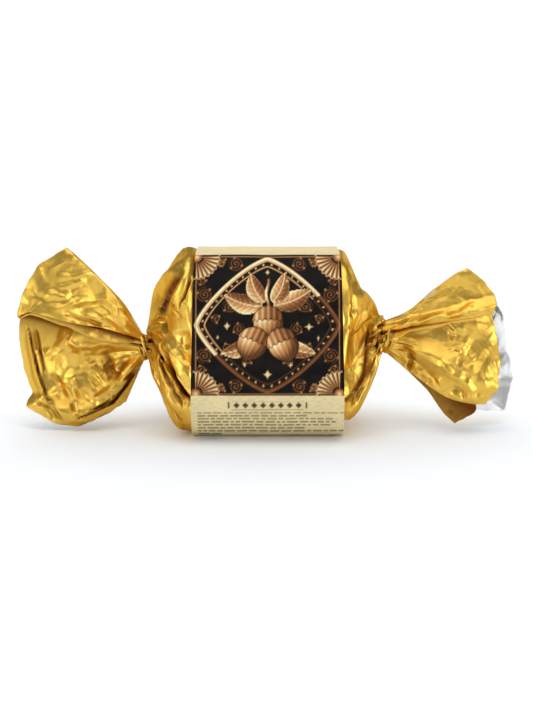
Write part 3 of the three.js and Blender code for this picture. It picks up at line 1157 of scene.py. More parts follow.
@dataclass
class FoilTail:
    """The loose end of the foil past a neck: a flattened tube, gold outside and silver inside.

    Its crumples are laid out on a flat pattern, where turns are measured at the mean reach and
    the back lies apart from the front.
    """

    name: str
    side: int
    neck: tuple[float, float, float]
    front: tuple[Fold, ...]
    back: tuple[Fold, ...]
    rows: int = 132
    columns: int = 320
    thickness: float = 0.14
    rounding: float = 0.3
    grid_step: float = 0.27
    mean_reach: float = 22
    apart: float = 200.0
    press: float = 1.5
    creases: tuple[Crease, ...] = ()
    seed: int = 1
    stations: tuple[float, ...] = (0.0, 0.3, 0.6, 0.88, 1.0)

    def corners(self, share: np.ndarray) -> np.ndarray:
        """Where each fold runs.

        Args:
            share: places along the tail, 0 at the neck and 1 at the rim.

        Returns:
            Points in millimetres, for each share and fold.
        """
        x, z, radius = self.neck
        root = 0.85 * radius
        down = [math.pi * (0.5 - i / (len(self.front) - 1)) for i in range(len(self.front))]
        up = [-math.pi * (0.5 + (i + 1) / (len(self.back) + 1)) for i in range(len(self.back))]
        lines = []
        for fold, start in zip(self.front + self.back, down + up):
            angle = math.radians(fold.angle)
            across = share * fold.reach * math.cos(angle)
            rise = root * math.sin(start) * (1 - share) + share * fold.reach * math.sin(angle)
            rise = rise + curve(self.stations, [0, *fold.bend, 0], share)
            forward = curve(self.stations, [root * math.cos(start), *fold.depth], share)
            height = np.maximum(z + rise, FLOOR_GAP)
            lines.append(np.stack([self.side * (x + across), -forward, height], axis=-1))
        return np.stack(lines, axis=1)

    def grid(self) -> tuple[np.ndarray, np.ndarray, np.ndarray, np.ndarray]:
        """The tail's surface before it is crumpled.

        Returns:
            Its rings, each column's place on the front from 0 to 1, how dark each column is,
            and each row's share.
        """
        share = np.linspace(0, 1, self.rows)
        corners = self.corners(share)
        ahead = np.roll(corners, -1, axis=1)
        middle = int(0.75 * self.rows)
        spans = np.linalg.norm(ahead[middle] - corners[middle], axis=1)
        counts = np.maximum(3, np.round(self.columns * spans / spans.sum())).astype(int)
        rings, onfront, painted_shade = [], [], []
        folds = self.front + self.back
        for i, count in enumerate(counts):
            parts = np.arange(count) / count
            start, stop = corners[:, i, None], ahead[:, i, None]
            rings.append(start + (stop - start) * parts[None, :, None])
            onfront.append(np.full(count, 1.0 if i < len(self.front) - 1 else 0.0))
            # painted shade fading from each fold's line to the next
            last = folds[(i + 1) % len(folds)].dark
            power = 1.0 if folds[i].dark and last else 1.5
            painted_shade.append(folds[i].dark * (1 - parts) ** power + last * parts**power)
        grid = np.concatenate(rings, axis=1)
        return self.rounded(grid), np.concatenate(onfront), np.concatenate(painted_shade), share

    def rounded(self, grid: np.ndarray) -> np.ndarray:
        """The grid with its folds slightly rounded round each ring.

        Args:
            grid: the sharply folded rings.

        Returns:
            The rounded rings.
        """
        weights = np.exp(-0.5 * (np.arange(-4, 5) * self.grid_step / self.rounding) ** 2)
        return blurred(grid, weights, axis=1)

    def gathers(self, columns: int) -> np.ndarray:
        """The pleats that fan out from the neck.

        Args:
            columns: how many columns the tail has.

        Returns:
            The lift of each column in millimetres.
        """
        rng = np.random.default_rng(self.seed + 23)
        around = np.linspace(0, 2 * math.pi, columns, endpoint=False)
        total = np.zeros_like(around)
        for waves in (6, 11, 17):
            bend = 0.8 * np.sin(around * 3 + rng.uniform(0, 6))
            phase = waves * around + rng.uniform(0, 6) + bend
            total += (1 - 2 * np.abs(np.sin(phase / 2))) * 6.0 / waves
        return 0.3 * total

    def turned_out(self, onfront: np.ndarray) -> np.ndarray:
        """Which way relief stands in each column.

        Args:
            onfront: each column's place, 1 on the front and 0 on the back.

        Returns:
            1 to the front and -1 to the back, with a soft change between them.
        """
        return blurred(2 * onfront - 1, np.hanning(19)[1:-1], axis=0)

    def behind(self, depth: np.ndarray, away: np.ndarray, gap: np.ndarray) -> np.ndarray:
        """Where the silver side lies: behind the gold side and all that is next to it.

        Args:
            depth: the gold side's depth at each point.
            away: which way the relief stands in each column.
            gap: the foil's thickness in each column.

        Returns:
            The silver side's depth at each point.
        """
        rear = widened(depth, 2) - depth + gap
        fore = depth + widened(-depth, 2) + gap
        return depth + np.clip(away, 0, 1) * rear - np.clip(-away, 0, 1) * fore

    def crumpled(self, flat: np.ndarray, rows: np.ndarray) -> np.ndarray:
        """How far the crumples and the gathers at the neck raise the foil.

        Args:
            flat: flat places in millimetres, the last axis of two.
            rows: each point's share of the way to the rim.

        Returns:
            The rise at each point in millimetres.
        """
        busy = smooth(ripple(flat, 30, self.seed + 5), -1.3, 1.6)
        broad = Facets(size=10, slope=0.14, seed=self.seed, grain=0.55)
        middling = Facets(size=4.5, slope=0.13, seed=self.seed + 1, grain=0.6)
        fine = Facets(size=2, slope=0.13, seed=self.seed + 2, grain=0.8)
        short = Crumple(
            count=260,
            length=(1.5, 7),
            width=(0.35, 0.6),
            height=0.14,
            seed=self.seed + 22,
            spread=2.4,
        )
        lift = broad.lift(flat)
        lift += middling.lift(flat) * (0.4 + 0.6 * busy)
        lift += fine.lift(flat) * (0.25 + 0.75 * busy)
        lift += short.lift(flat, 0.0, busy)
        rooted = smooth(rows, 0.0, 0.08) * (1 - smooth(rows, 0.1, 0.5))
        return lift * smooth(rows, 0.05, 0.3) + self.gathers(flat.shape[1]) * rooted

    def build(self) -> bpy.types.Object:
        """Builds the piece.

        Returns:
            The piece.
        """
        grid, onfront, painted_shade, share = self.grid()
        x, z, _ = self.neck
        out, up = self.side * grid[..., 0] - x, grid[..., 2] - z
        sweep = self.mean_reach * np.arctan2(up, np.maximum(out, 1))
        flat = np.stack([np.hypot(out, up), sweep + self.apart * (1 - onfront)], axis=-1)
        rows = np.broadcast_to(share[:, None], grid.shape[:2])
        lift = self.crumpled(flat, rows)
        away = self.turned_out(onfront)
        grid[..., 1] -= lift * away
        ragged = 0.1 * ripple(flat[-1], 2.2, self.seed + 9)
        ragged = ragged + 0.14 * ripple(flat[-1], 6, self.seed + 8)
        grid[..., 0] += self.side * ragged * rows**12
        seen = pictured(grid)
        facing = smooth(away, 0, 1) * np.ones_like(lift)
        folded = np.max([np.roll(painted_shade, k) for k in range(-8, 9)], axis=0) > 0.5
        painted_shade = np.broadcast_to(painted_shade, lift.shape)
        # painted shade of the folds and creases; under the lips it also goes onto the inner side
        gaps = np.zeros(lift.shape)
        for crease in self.creases:
            rise, shift, dark = crease.lift(seen)
            grid[..., 1] -= self.press * rise * facing
            grid[..., 0] += shift[..., 0] * facing
            grid[..., 2] -= shift[..., 1] * facing
            painted_shade = np.maximum(painted_shade, dark * facing)
            if crease.kind is CreaseKind.LIP:
                gaps = np.maximum(gaps, dark * facing)
        grid[..., 2] = np.maximum(grid[..., 2], 2 * FLOOR_GAP + self.thickness)
        inner = grid.copy()
        thin = np.where(folded, 0.3, 1.0)
        inner[..., 1] = self.behind(grid[..., 1], away, self.thickness * thin)
        return self.mesh(grid, inner, painted_shade, gaps, folded)

    def mesh(
        self,
        outer: np.ndarray,
        inner: np.ndarray,
        painted_shade: np.ndarray,
        gaps: np.ndarray,
        folded: np.ndarray,
    ) -> bpy.types.Object:
        """The closed sheet between the outer and the inner surface.

        Args:
            outer: the gold side's rings, from the neck to the rim.
            inner: the silver side's rings.
            painted_shade: how much painted shade each point of the gold side gets.
            gaps: how much painted shade the gaps under the lips get, where the silver side never
                shows.
            folded: which columns lie in tight folds, where the silver side never shows.

        Returns:
            The piece.
        """
        rows, columns = outer.shape[:2]
        middle = outer[0].mean(axis=0)
        pinch = middle + (inner[0] - middle) * 0.05
        rings = np.concatenate([pinch[None], inner, outer[::-1]])
        quads = tube_faces(len(rings), columns)
        inside = np.repeat(np.arange(len(rings) - 1), columns) < rows
        # both skins are cut along the same diagonals, so that they stay parallel
        faces = np.concatenate([halved(quads[inside], False), halved(quads[~inside], True)])
        # the inner side in the gaps under the lips is dressed gold and gets painted shade
        deep = widened(gaps, 3)
        silver = np.where(folded[None] | (deep > 0.02), 0, 1).ravel()
        dressed = np.concatenate([silver, silver, np.zeros(2 * (~inside).sum(), int)])
        if self.side > 0:
            faces = faces[:, ::-1]
        finishes = [GOLD.material(), SILVER.material()]
        tint = painted_shade_tint(np.concatenate([0 * painted_shade[:1], deep, painted_shade[::-1]]))
        return mesh_object(self.name, rings, faces, finishes, tint, dressed)


LEFT_TAIL = FoilTail(
    name="foil_tail_left",
    side=-1,
    neck=(30.3, 19.6, 3.1),
    front=(
        Fold(54, 31.4, (1.4, 2.5, 2.6, 2.2), (2.9, 2.3, 1.1)),
        Fold(40, 33, (3, 4.4, 4.1, 3.2), (1.4, 1.2, 0.6)),
        Fold(27, 32.5, (4.2, 6.2, 6.0, 4.8)),
        Fold(15.5, 31.7, (5.2, 8, 8, 6.4), (1.5, 1.6, 2.2)),
        Fold(18, 31.5, (4.2, 6.9, 6.5, 4.9), (1.9, 2.3, 2.8), 2.0),
        Fold(14.6, 31.4, (4.2, 6.9, 6.9, 5.4), (-1.5, 0.5, 1.9)),
        Fold(18.5, 31.3, (3.2, 5.4, 5.4, 4.2), (-0.7, 1.0, 1.8), 2.0),
        Fold(14.6, 31.2, (2.0, 3.0, 3.2, 2.6), (0.1, 0.3, 0.1), 0.6),
        Fold(4, 31, (1.4, 1.8, 3.4, 1.8)),
        Fold(-9, 30.4, (1.4, 1.6, 4.0, 2.0)),
        Fold(-21.5, 29.8, (1.4, 1.6, 5.4, 2.8)),
        Fold(-25.2, 32.8, (1.8, 1.8, 6.4, 4.4)),
        Fold(-29.5, 30.7, (1.9, 2.0, 6.6, 5.6)),
        Fold(-40, 27.9, (2, 2.2, 6.6, 6.4)),
        Fold(-49.8, 25.1, (2.4, 3.8, 5.6, 4)),
        Fold(-58, 20, (2.4, 3.8, 4.8, 3.2)),
        Fold(-71.5, 13.9, (2.2, 2.2, 2, 1.4)),
    ),
    back=(
        Fold(-55, 19, (-1.4, -1.2, 0.4, 1)),
        Fold(-37, 27.2, (-2.4, -3, -2, 0.6)),
        Fold(-14, 30.6, (-3, -5, -4.6, -1.6)),
        Fold(12, 31, (-3, -5.6, -5, -2)),
        Fold(38, 32.2, (-2, -3.6, -3, -1), (1.6, 1.2, 0.4)),
    ),
    creases=LEFT_TAIL_CREASES,
    seed=31,
)
RIGHT_TAIL = FoilTail(
    name="foil_tail_right",
    side=1,
    neck=(28.4, 22.6, 4.2),
    front=(
        Fold(41, 26.3, (1.4, 2.2, 2.2, 2.0), (-1.2, 0.1, 0.5)),
        Fold(31, 28, (2.4, 3.1, 3.0, 2.6), (-0.4, 0.2, 0.3)),
        Fold(22, 29.2, (3.6, 4.2, 3.8, 3.4)),
        Fold(17, 28.5, (5.4, 6.8, 6.2, 5.6)),
        Fold(12.5, 27.4, (4.8, 6, 5.4, 4.8)),
        Fold(17, 26.7, (3.9, 4.6, 4.0, 3.6), (0, 0, 0), 2.0),
        Fold(12, 27.1, (3.2, 3.4, 3, 2.7)),
        Fold(0, 28, (4, 5, 4.6, 4)),
        Fold(-11, 29.1, (4.6, 7, 7, 6.2)),
        Fold(-23, 30, (4.6, 8, 8.6, 7.8)),
        Fold(-32.5, 29.6, (3.8, 7.4, 8.4, 8), (-2.5, -3.5, -1.5)),
        Fold(-29, 27, (1.4, 3.6, 4, 3.8), (0.4, 0.6, 0.2), 2.0),
        Fold(-39.5, 29.6, (1.2, 3.2, 3.8, 3.8), (0.8, 1.6, 0.2), 1.0),
        Fold(-51, 27.8, (0.4, 1.8, 3, 3.2), (1, 1.4, -0.2), 0.7),
    ),
    back=(
        Fold(-40, 29.8, (-1.2, -0.6, 0, 0.4), (0.8, 1.6, 0.2)),
        Fold(-31.5, 36.6, (-1.8, -2.4, -2.4, -2)),
        Fold(-19, 35.3, (-2.6, -4, -3.6, -3)),
        Fold(-6, 31.5, (-3, -4.6, -4, -3.4)),
        Fold(10, 30.9, (-3, -4, -3.4, -2.8)),
        Fold(26, 28.6, (-2, -2.6, -2, -1), (-0.6, -0.2, 0)),
    ),
    creases=RIGHT_TAIL_CREASES,
    seed=57,
)


def linear(colour: tuple[float, float, float]) -> np.ndarray:
    """A screen colour as light.

    Args:
        colour: its red, green and blue, 0 to 255.

    Returns:
        Its red, green and blue as shares of light.
    """
    share = np.asarray(colour, float) / 255
    return np.where(share < 0.04045, share / 12.92, ((share + 0.055) / 1.055) ** 2.4)


@dataclass
class Ink:
    """Colours laid over one another on the flat print, in millimetres from its middle."""

    x: np.ndarray
    y: np.ndarray
    colours: np.ndarray
    softness: float = 0.14

    def lay(self, gap: np.ndarray, colour: np.ndarray, strength: float | np.ndarray = 1.0) -> None:
        """Lays a colour wherever a shape is.

        Args:
            gap: each point's distance outside the shape, negative inside it.
            colour: the colour as light, one or one for each point.
            strength: how much of it covers what lies below.
        """
        cover = np.clip(0.5 - gap / self.softness, 0, 1) * strength
        self.colours += (colour - self.colours) * cover[..., None]

    def local(self, place: tuple[float, float], turn: float) -> tuple[np.ndarray, np.ndarray]:
        """Coordinates about a place.

        Args:
            place: the place, across and down.
            turn: how far the direction is turned, in degrees.

        Returns:
            How far each point lies along the direction, and how far across it.
        """
        cos, sin = math.cos(math.radians(turn)), math.sin(math.radians(turn))
        dx, dy = self.x - place[0], self.y - place[1]
        return dx * cos + dy * sin, dy * cos - dx * sin


@dataclass(frozen=True)
class BandPrint:
    """The band's print: a hazel sprig in a lozenge on a dark panel, and plain rules below it.

    Y runs down from the panel's middle. Rows are those at which the studio camera sees it.
    Corner curls are drawn in all four corners and side curls on both sides.
    """

    panel_rows: tuple[float, float] = (254.5, 396.0)
    rule_rows: tuple[float, ...] = (413, 416, 419, 422, 425, 428, 431, 434)
    rule_ends: tuple[float, ...] = (17.4, 7.8, 14.4, 15.8, 14.8, 7.4, 17.2, -12.8)
    rule_start: float = -16.6
    rule_gap: float = 0.42
    half_rule: float = 0.17
    dashes: tuple[float, float] = (0.7, 3.0)
    ornament_row: float = 405.5
    ornament_pitch: float = 2.1
    ornament_end: float = 8.4
    lozenge: tuple[float, float] = (17.0, 16.6)
    lozenge_bow: float = 1.3
    lozenge_reach: float = 14.5
    beads: int = 24
    bead_ring: float = 0.925
    border: tuple[float, float] = (17.0, 0.55)
    fan_radius: float = 5.0
    fan_ribs: int = 14
    parchment: tuple[float, float, float] = (224, 206, 158)
    ground: tuple[float, float, float] = (12, 9, 7)
    ink: tuple[float, float, float] = (58, 44, 28)
    outline: tuple[float, float, float] = (8, 5, 3)
    bronzes: tuple[tuple[float, float, float], ...] = (
        (26, 15, 8),
        (128, 78, 42),
        (204, 150, 92),
        (252, 232, 180),
    )
    bronze_steps: tuple[float, ...] = (0.0, 0.4, 0.72, 1.0)
    leaves: tuple[tuple[float, float, float, float, float], ...] = (
        (-1.2, -4.6, 198, 9.6, 2.5),
        (1.4, -4.8, -24, 9.8, 2.5),
        (-0.8, -5.6, 246, 8.0, 2.1),
        (1.2, -5.8, -68, 7.8, 2.0),
        (-4.2, 4.2, 158, 7.4, 2.0),
        (4.4, 4.4, 20, 7.4, 2.0),
    )
    nuts: tuple[tuple[float, float, float, float], ...] = (
        (0.2, -0.6, 3.5, 0),
        (-3.6, 4.6, 3.5, 24),
        (3.7, 4.8, 3.5, -22),
    )
    side_curls: tuple[tuple[float, float, float], ...] = (
        (9.0, -4.6, 1.7),
        (9.4, 5.6, 1.3),
        (6.9, 0.9, 1.5),
        (4.8, 8.9, 1.2),
        (12.2, -1.6, 1.1),
        (3.0, -10.2, 1.0),
    )
    corner_curls: tuple[tuple[float, float, float], ...] = (
        (14.9, 7.6, 1.9),
        (7.6, 15.2, 1.7),
        (15.6, 11.0, 1.1),
        (10.9, 15.7, 1.1),
        (11.2, 15.4, 0.8),
    )
    stars: tuple[tuple[float, float, float], ...] = (
        (-9.6, 0.2, 1.0),
        (9.8, 0.4, 1.0),
        (0.0, 12.2, 1.2),
        (-5.4, 9.8, 0.6),
        (5.4, 9.9, 0.6),
        (-11.8, 3.0, 0.5),
        (12.0, 3.2, 0.5),
        (0.0, -13.2, 0.7),
        (-4.6, -11.0, 0.5),
        (4.6, -11.0, 0.5),
    )

    def bronze(self, shade: np.ndarray) -> np.ndarray:
        """The bronze ink's colour.

        Args:
            shade: how light it is, from 0 to 1.

        Returns:
            The colour at each shade as light.
        """
        tones = np.stack([linear(colour) for colour in self.bronzes])
        mixed = [np.interp(shade, self.bronze_steps, tones[:, k]) for k in range(3)]
        return np.stack(mixed, axis=-1)

    def colours(self, across: np.ndarray, row: np.ndarray) -> np.ndarray:
        """The print's colours.

        Args:
            across: places across the band in millimetres.
            row: rows in the studio camera's picture, as many.

        Returns:
            The colour of each place as light.
        """
        top, bottom = self.panel_rows
        y = (row - (top + bottom) / 2) / PIXELS_PER_MM
        half = (bottom - top) / 2 / PIXELS_PER_MM
        parchment = np.broadcast_to(linear(self.parchment), (*across.shape, 3))
        ink = Ink(across, y, parchment.copy())
        dusk = 0.5 + 0.5 * ripple(np.stack([across, y], axis=-1), size=5, seed=5)
        ground = linear(self.ground) * (1 + 1.2 * np.clip(dusk, 0, 1))[..., None]
        ink.lay(np.abs(y) - half, ground)
        self.curls(ink)
        self.frame(ink, half)
        self.fans(ink, half)
        for leaf in self.leaves:
            self.leaf(ink, *leaf)
        for nut in self.nuts:
            self.nut(ink, *nut)
        self.sparks(ink)
        self.rules(ink, row)
        return ink.colours

    def frame(self, ink: Ink, half: float) -> None:
        """Draws the lozenge with its beads, and the border.

        Args:
            ink: the print.
            half: half the panel's height.
        """
        x, y = np.abs(ink.x), np.abs(ink.y)
        within = np.where(y < half, 0.0, 1.0)
        light = 0.62 - 0.3 * np.sign(ink.x * 0.6 + ink.y)
        wide, high = self.lozenge
        bow, mean = self.lozenge_bow, self.lozenge_reach
        diamond = ((x / wide) ** bow + (y / high) ** bow) ** (1 / bow)
        for size, width, tone in ((1.0, 0.34, 0.1), (0.965, 0.12, -0.1), (0.88, 0.14, -0.15)):
            gap = np.abs(diamond - size) * mean - width
            ink.lay(gap + within, self.bronze(light + tone - 0.5 * np.clip(gap + width, 0, 1)))
        turn = np.arctan2(ink.y, ink.x) * self.beads / math.pi
        bead = np.hypot((diamond - self.bead_ring) * mean, (turn % 1 - 0.5) * 1.9)
        ink.lay(bead - 0.26 + within, self.bronze(0.95 - 1.4 * bead))
        edge = np.minimum(self.border[0] - x, half - self.border[1] - y)
        ink.lay(np.abs(edge) - 0.1 + within, self.bronze(np.full_like(x, 0.6)), 0.9)

    def fans(self, ink: Ink, half: float) -> None:
        """Draws a fan in each corner of the border.

        Args:
            ink: the print.
            half: half the panel's height.
        """
        out, down = self.border[0] - np.abs(ink.x), half - self.border[1] - np.abs(ink.y)
        within = np.where(np.abs(ink.y) < half, 0.0, 1.0)
        reach, bow = np.hypot(out, down), np.arctan2(down, out) * self.fan_ribs
        inside = np.maximum(reach - self.fan_radius - 0.6, -np.minimum(out, down))
        ribs = np.abs((bow / math.pi) % 1 - 0.5) * reach * 0.45
        scallop = reach - self.fan_radius - 0.55 * np.abs(np.sin(bow))
        ink.lay(np.maximum(np.abs(scallop) - 0.13, inside - 0.6), self.bronze(0.55 + 0.05 * reach))
        fan = np.maximum(np.maximum(scallop, inside), 1.7 - reach)
        ink.lay(fan, self.bronze(0.18 + 0.95 * ribs), 0.85)
        ink.lay(reach - 1.3 + within, self.bronze(0.95 - 0.5 * reach))

    def curls(self, ink: Ink) -> None:
        """Draws dim curled tendrils beside the lozenge and behind the sprig.

        Args:
            ink: the print.
        """
        x, pitch = np.abs(ink.x), 0.72
        spots = [(*spot, np.abs(ink.y)) for spot in self.corner_curls]
        spots += [(*spot, ink.y) for spot in self.side_curls]
        for across, down, size, level in spots:
            dx, dy = x - across, level - down
            reach = np.hypot(dx, dy)
            turn = np.arctan2(dy, dx) / (2 * math.pi)
            coil = np.abs((reach / pitch - turn) % 1 - 0.5) * pitch - 0.13
            ink.lay(np.maximum(coil, reach - size), self.bronze(0.5 - 0.1 * reach), 0.75)
            for k in range(3):
                way = 2.1 * k + across
                bud = np.hypot(dx - 0.9 * size * math.cos(way), dy - 0.9 * size * math.sin(way))
                ink.lay(bud - 0.3, self.bronze(0.72 - 0.9 * bud), 0.8)

    def leaf(self, ink: Ink, x: float, y: float, turn: float, length: float, half: float) -> None:
        """Draws a hazel leaf.

        Args:
            ink: the print.
            x: where its stalk joins, across.
            y: where its stalk joins, down.
            turn: the way it points, in degrees from the right, clockwise.
            length: its length.
            half: half its width.
        """
        along, side = ink.local((x, y), turn)
        share = np.clip(along / length, 0, 1)
        bowed = side - 0.7 * np.sin(math.pi * share) * np.sign(math.cos(math.radians(turn)))
        width = half * np.sin(math.pi * share**0.8) ** 0.75
        teeth = 0.22 * np.abs((along * 1.6) % 1 - 0.5)
        gap = np.maximum(np.abs(bowed) - width + teeth, np.maximum(-along, along - length))
        veins = np.abs(((along - 0.75 * np.abs(bowed)) / 1.25) % 1 - 0.5)
        shade = 0.66 - 0.17 * bowed + 0.32 * (veins - 0.25) - 0.2 * share
        shade = np.where(np.abs(gap) < 0.22, shade + 0.25, shade)
        ink.lay(gap - 0.18, linear(self.outline))
        ink.lay(gap, self.bronze(shade))
        ink.lay(np.maximum(np.abs(bowed) - 0.1, gap), self.bronze(np.full_like(x + along, 0.98)))

    def nut(self, ink: Ink, x: float, y: float, radius: float, turn: float) -> None:
        """Draws a hazelnut in its husk.

        Args:
            ink: the print.
            x: its middle, across.
            y: its middle, down.
            radius: its radius.
            turn: how far it leans, in degrees.
        """
        side, down = ink.local((x, y), turn)
        tip = 1.12 + 0.14 * np.clip(1 - np.abs(side) / (0.5 * radius), 0, 1) * (down > 0)
        a, b = side / radius, down / (radius * tip)
        size = np.hypot(a, b)
        gap = (size - 1) * radius
        deep = np.sqrt(np.clip(1 - size**2, 0, 1))
        shade = 0.18 + 0.8 * np.clip(-0.45 * a - 0.5 * b + 0.72 * deep, 0, 1)
        grain = 0.07 * np.sin(a / np.maximum(np.sqrt(np.clip(1 - b * b, 0.05, 1)), 0.2) * 19)
        ink.lay(gap - 0.2, linear(self.outline))
        ink.lay(gap, self.bronze(shade + grain))
        frill = down + 0.18 * radius + 0.42 * np.abs(np.sin(side * 2.3))
        husk = np.maximum((size - 1.08) * radius, frill - 0.12 * side * side / radius)
        ink.lay(husk - 0.16, linear(self.outline))
        ribs = 0.14 * np.cos(side * 4.6) + 0.3 * np.clip(-a, -1, 1)
        ink.lay(husk, self.bronze(0.52 + ribs - 0.35 * np.clip(husk + 0.4, 0, 1)))

    def sparks(self, ink: Ink) -> None:
        """Draws the stalk and small four-pointed sparks.

        Args:
            ink: the print.
        """
        stalk = np.abs(ink.x - 0.35 * np.sin(ink.y)) - 0.3
        ends = np.maximum(-11.5 - ink.y, ink.y + 4.6)
        ink.lay(np.maximum(stalk, ends), self.bronze(0.75 - 0.8 * ink.x))
        for x, y, size in self.stars:
            dx, dy = np.abs(ink.x - x) / size, np.abs(ink.y - y) / size
            ink.lay((np.sqrt(dx) + np.sqrt(dy) - 1.1) * 0.5 * size, self.bronze(0.9 - 0.2 * dx))

    def rules(self, ink: Ink, row: np.ndarray) -> None:
        """Draws the ornament below the panel and the broken rules under it.

        Args:
            ink: the print.
            row: rows in the studio camera's picture.
        """
        dark = linear(self.ink)
        pitch = self.ornament_pitch
        high = (row - self.ornament_row) / PIXELS_PER_MM
        cell = (ink.x / pitch) % 1 - 0.5
        diamond = np.abs(cell) * pitch + np.abs(high) * 1.05 - 0.78
        ends = np.abs(ink.x) - self.ornament_end
        bar = np.maximum(np.abs(ends - 0.8) - 0.2, np.abs(high) - 0.8)
        ink.lay(np.maximum(diamond, ends), dark, 0.95)
        ink.lay(np.maximum(np.abs(np.abs(high) - 1.05) - 0.07, ends), dark, 0.8)
        ink.lay(bar, dark, 0.9)
        rng = np.random.default_rng(11)
        for line, end in zip(self.rule_rows, self.rule_ends):
            high = np.abs(row - line) / PIXELS_PER_MM - self.half_rule
            place = self.rule_start
            while place < end:
                length = rng.uniform(*self.dashes)
                dash = np.abs(ink.x - place - length / 2) - length / 2
                ink.lay(np.maximum(high, dash), dark, 0.72)
                place += length + self.rule_gap


@dataclass
class PaperBand:
    """The paper band round the middle, printed on its front."""

    width: float = 36.4
    taper: float = 1.1
    widest: float = -0.6
    thickness: float = 0.3
    rows: int = 360
    columns: int = 224
    wave: float = 0.05
    seam: tuple[float, float] = (2.75, 3.05)
    seam_lift: float = 0.12
    start: float = -1.62
    print_ends: tuple[float, float] = (-1.35, 1.95)
    back_share: float = 0.22
    artwork: BandPrint = BandPrint()

    def angles(self) -> np.ndarray:
        """The angles round the band, close together where its print is.

        Returns:
            The angle of each row of the band, in radians.
        """
        fine = np.linspace(self.start, 2 * math.pi + self.start, 4000)
        forward, up = section(fine, 0.0)
        steps = np.hypot(np.diff(forward), np.diff(up))
        steps = steps * np.where(fine[1:] < self.print_ends[1], 1.0, self.back_share)
        length = np.concatenate([[0], np.cumsum(steps)])
        return np.interp(np.linspace(0, length[-1], self.rows, endpoint=False), length, fine)

    def build(self) -> bpy.types.Object:
        """Builds the piece.

        Returns:
            The piece.
        """
        angle = self.angles()
        taper = self.taper * (1 - np.cos(angle - self.widest)) / 2
        skins = []
        for inset, columns in ((0.0, self.columns), (self.thickness, 2)):
            across = np.linspace(-1, 1, columns)
            forward, up = section(angle, inset)
            x = across[:, None] * (self.width / 2 - taper)[None]
            y = np.broadcast_to(-forward, x.shape)
            z = np.broadcast_to(np.maximum(WIDEST_LEVEL + up, inset), x.shape)
            skins.append(np.stack([x, y, z], axis=-1))
        outer, inner = skins
        normals = grid_normals(outer)
        lift = self.wave * (ripple(outer, 16, 3) - 1.5)
        overlap = (angle > self.seam[0]) & (angle < self.seam[1])
        overlap = np.where(overlap, self.seam_lift, 0.0)
        outer = outer + normals * np.minimum(lift, 0)[..., None] + normals * overlap[None, :, None]
        outer[..., 2] = np.maximum(outer[..., 2], 0)
        printed = self.printed(angle, outer)
        plain = np.broadcast_to(linear(self.artwork.parchment), inner.shape)
        rings = np.concatenate([outer, inner[::-1], outer[:1]])
        count = len(rings) - 1
        faces = tube_faces(count + 1, self.rows)
        faces = np.where(faces >= count * self.rows, faces - count * self.rows, faces)
        tint = np.concatenate([printed, plain])
        return mesh_object("paper_band", rings[:-1], faces, [PARCHMENT.material()], tint)

    def printed(self, angle: np.ndarray, outer: np.ndarray) -> np.ndarray:
        """The colours of the band's outer face, faintly mottled.

        Args:
            angle: the angle of each row.
            outer: the face's points.

        Returns:
            The colour of each point as light.
        """
        first, last = self.print_ends
        above, below = 100.0, 480.0
        forward, up = section(angle, 0.0)
        row = pictured(np.stack([0 * angle, -forward, WIDEST_LEVEL + up], axis=-1))[:, 1]
        row = np.where(angle < last, row, above)
        row = np.where(angle < first, below, row)
        colours = self.artwork.colours(outer[..., 0], np.broadcast_to(row, outer.shape[:2]))
        fine = smooth(last - angle, 0, 0.2) * np.clip(ripple(outer, 0.9, 9), 0, 1)
        coarse = np.clip(ripple(outer, 6, 10), 0, 1)
        return colours * (1 - 0.1 * fine - 0.03 * coarse)[..., None]


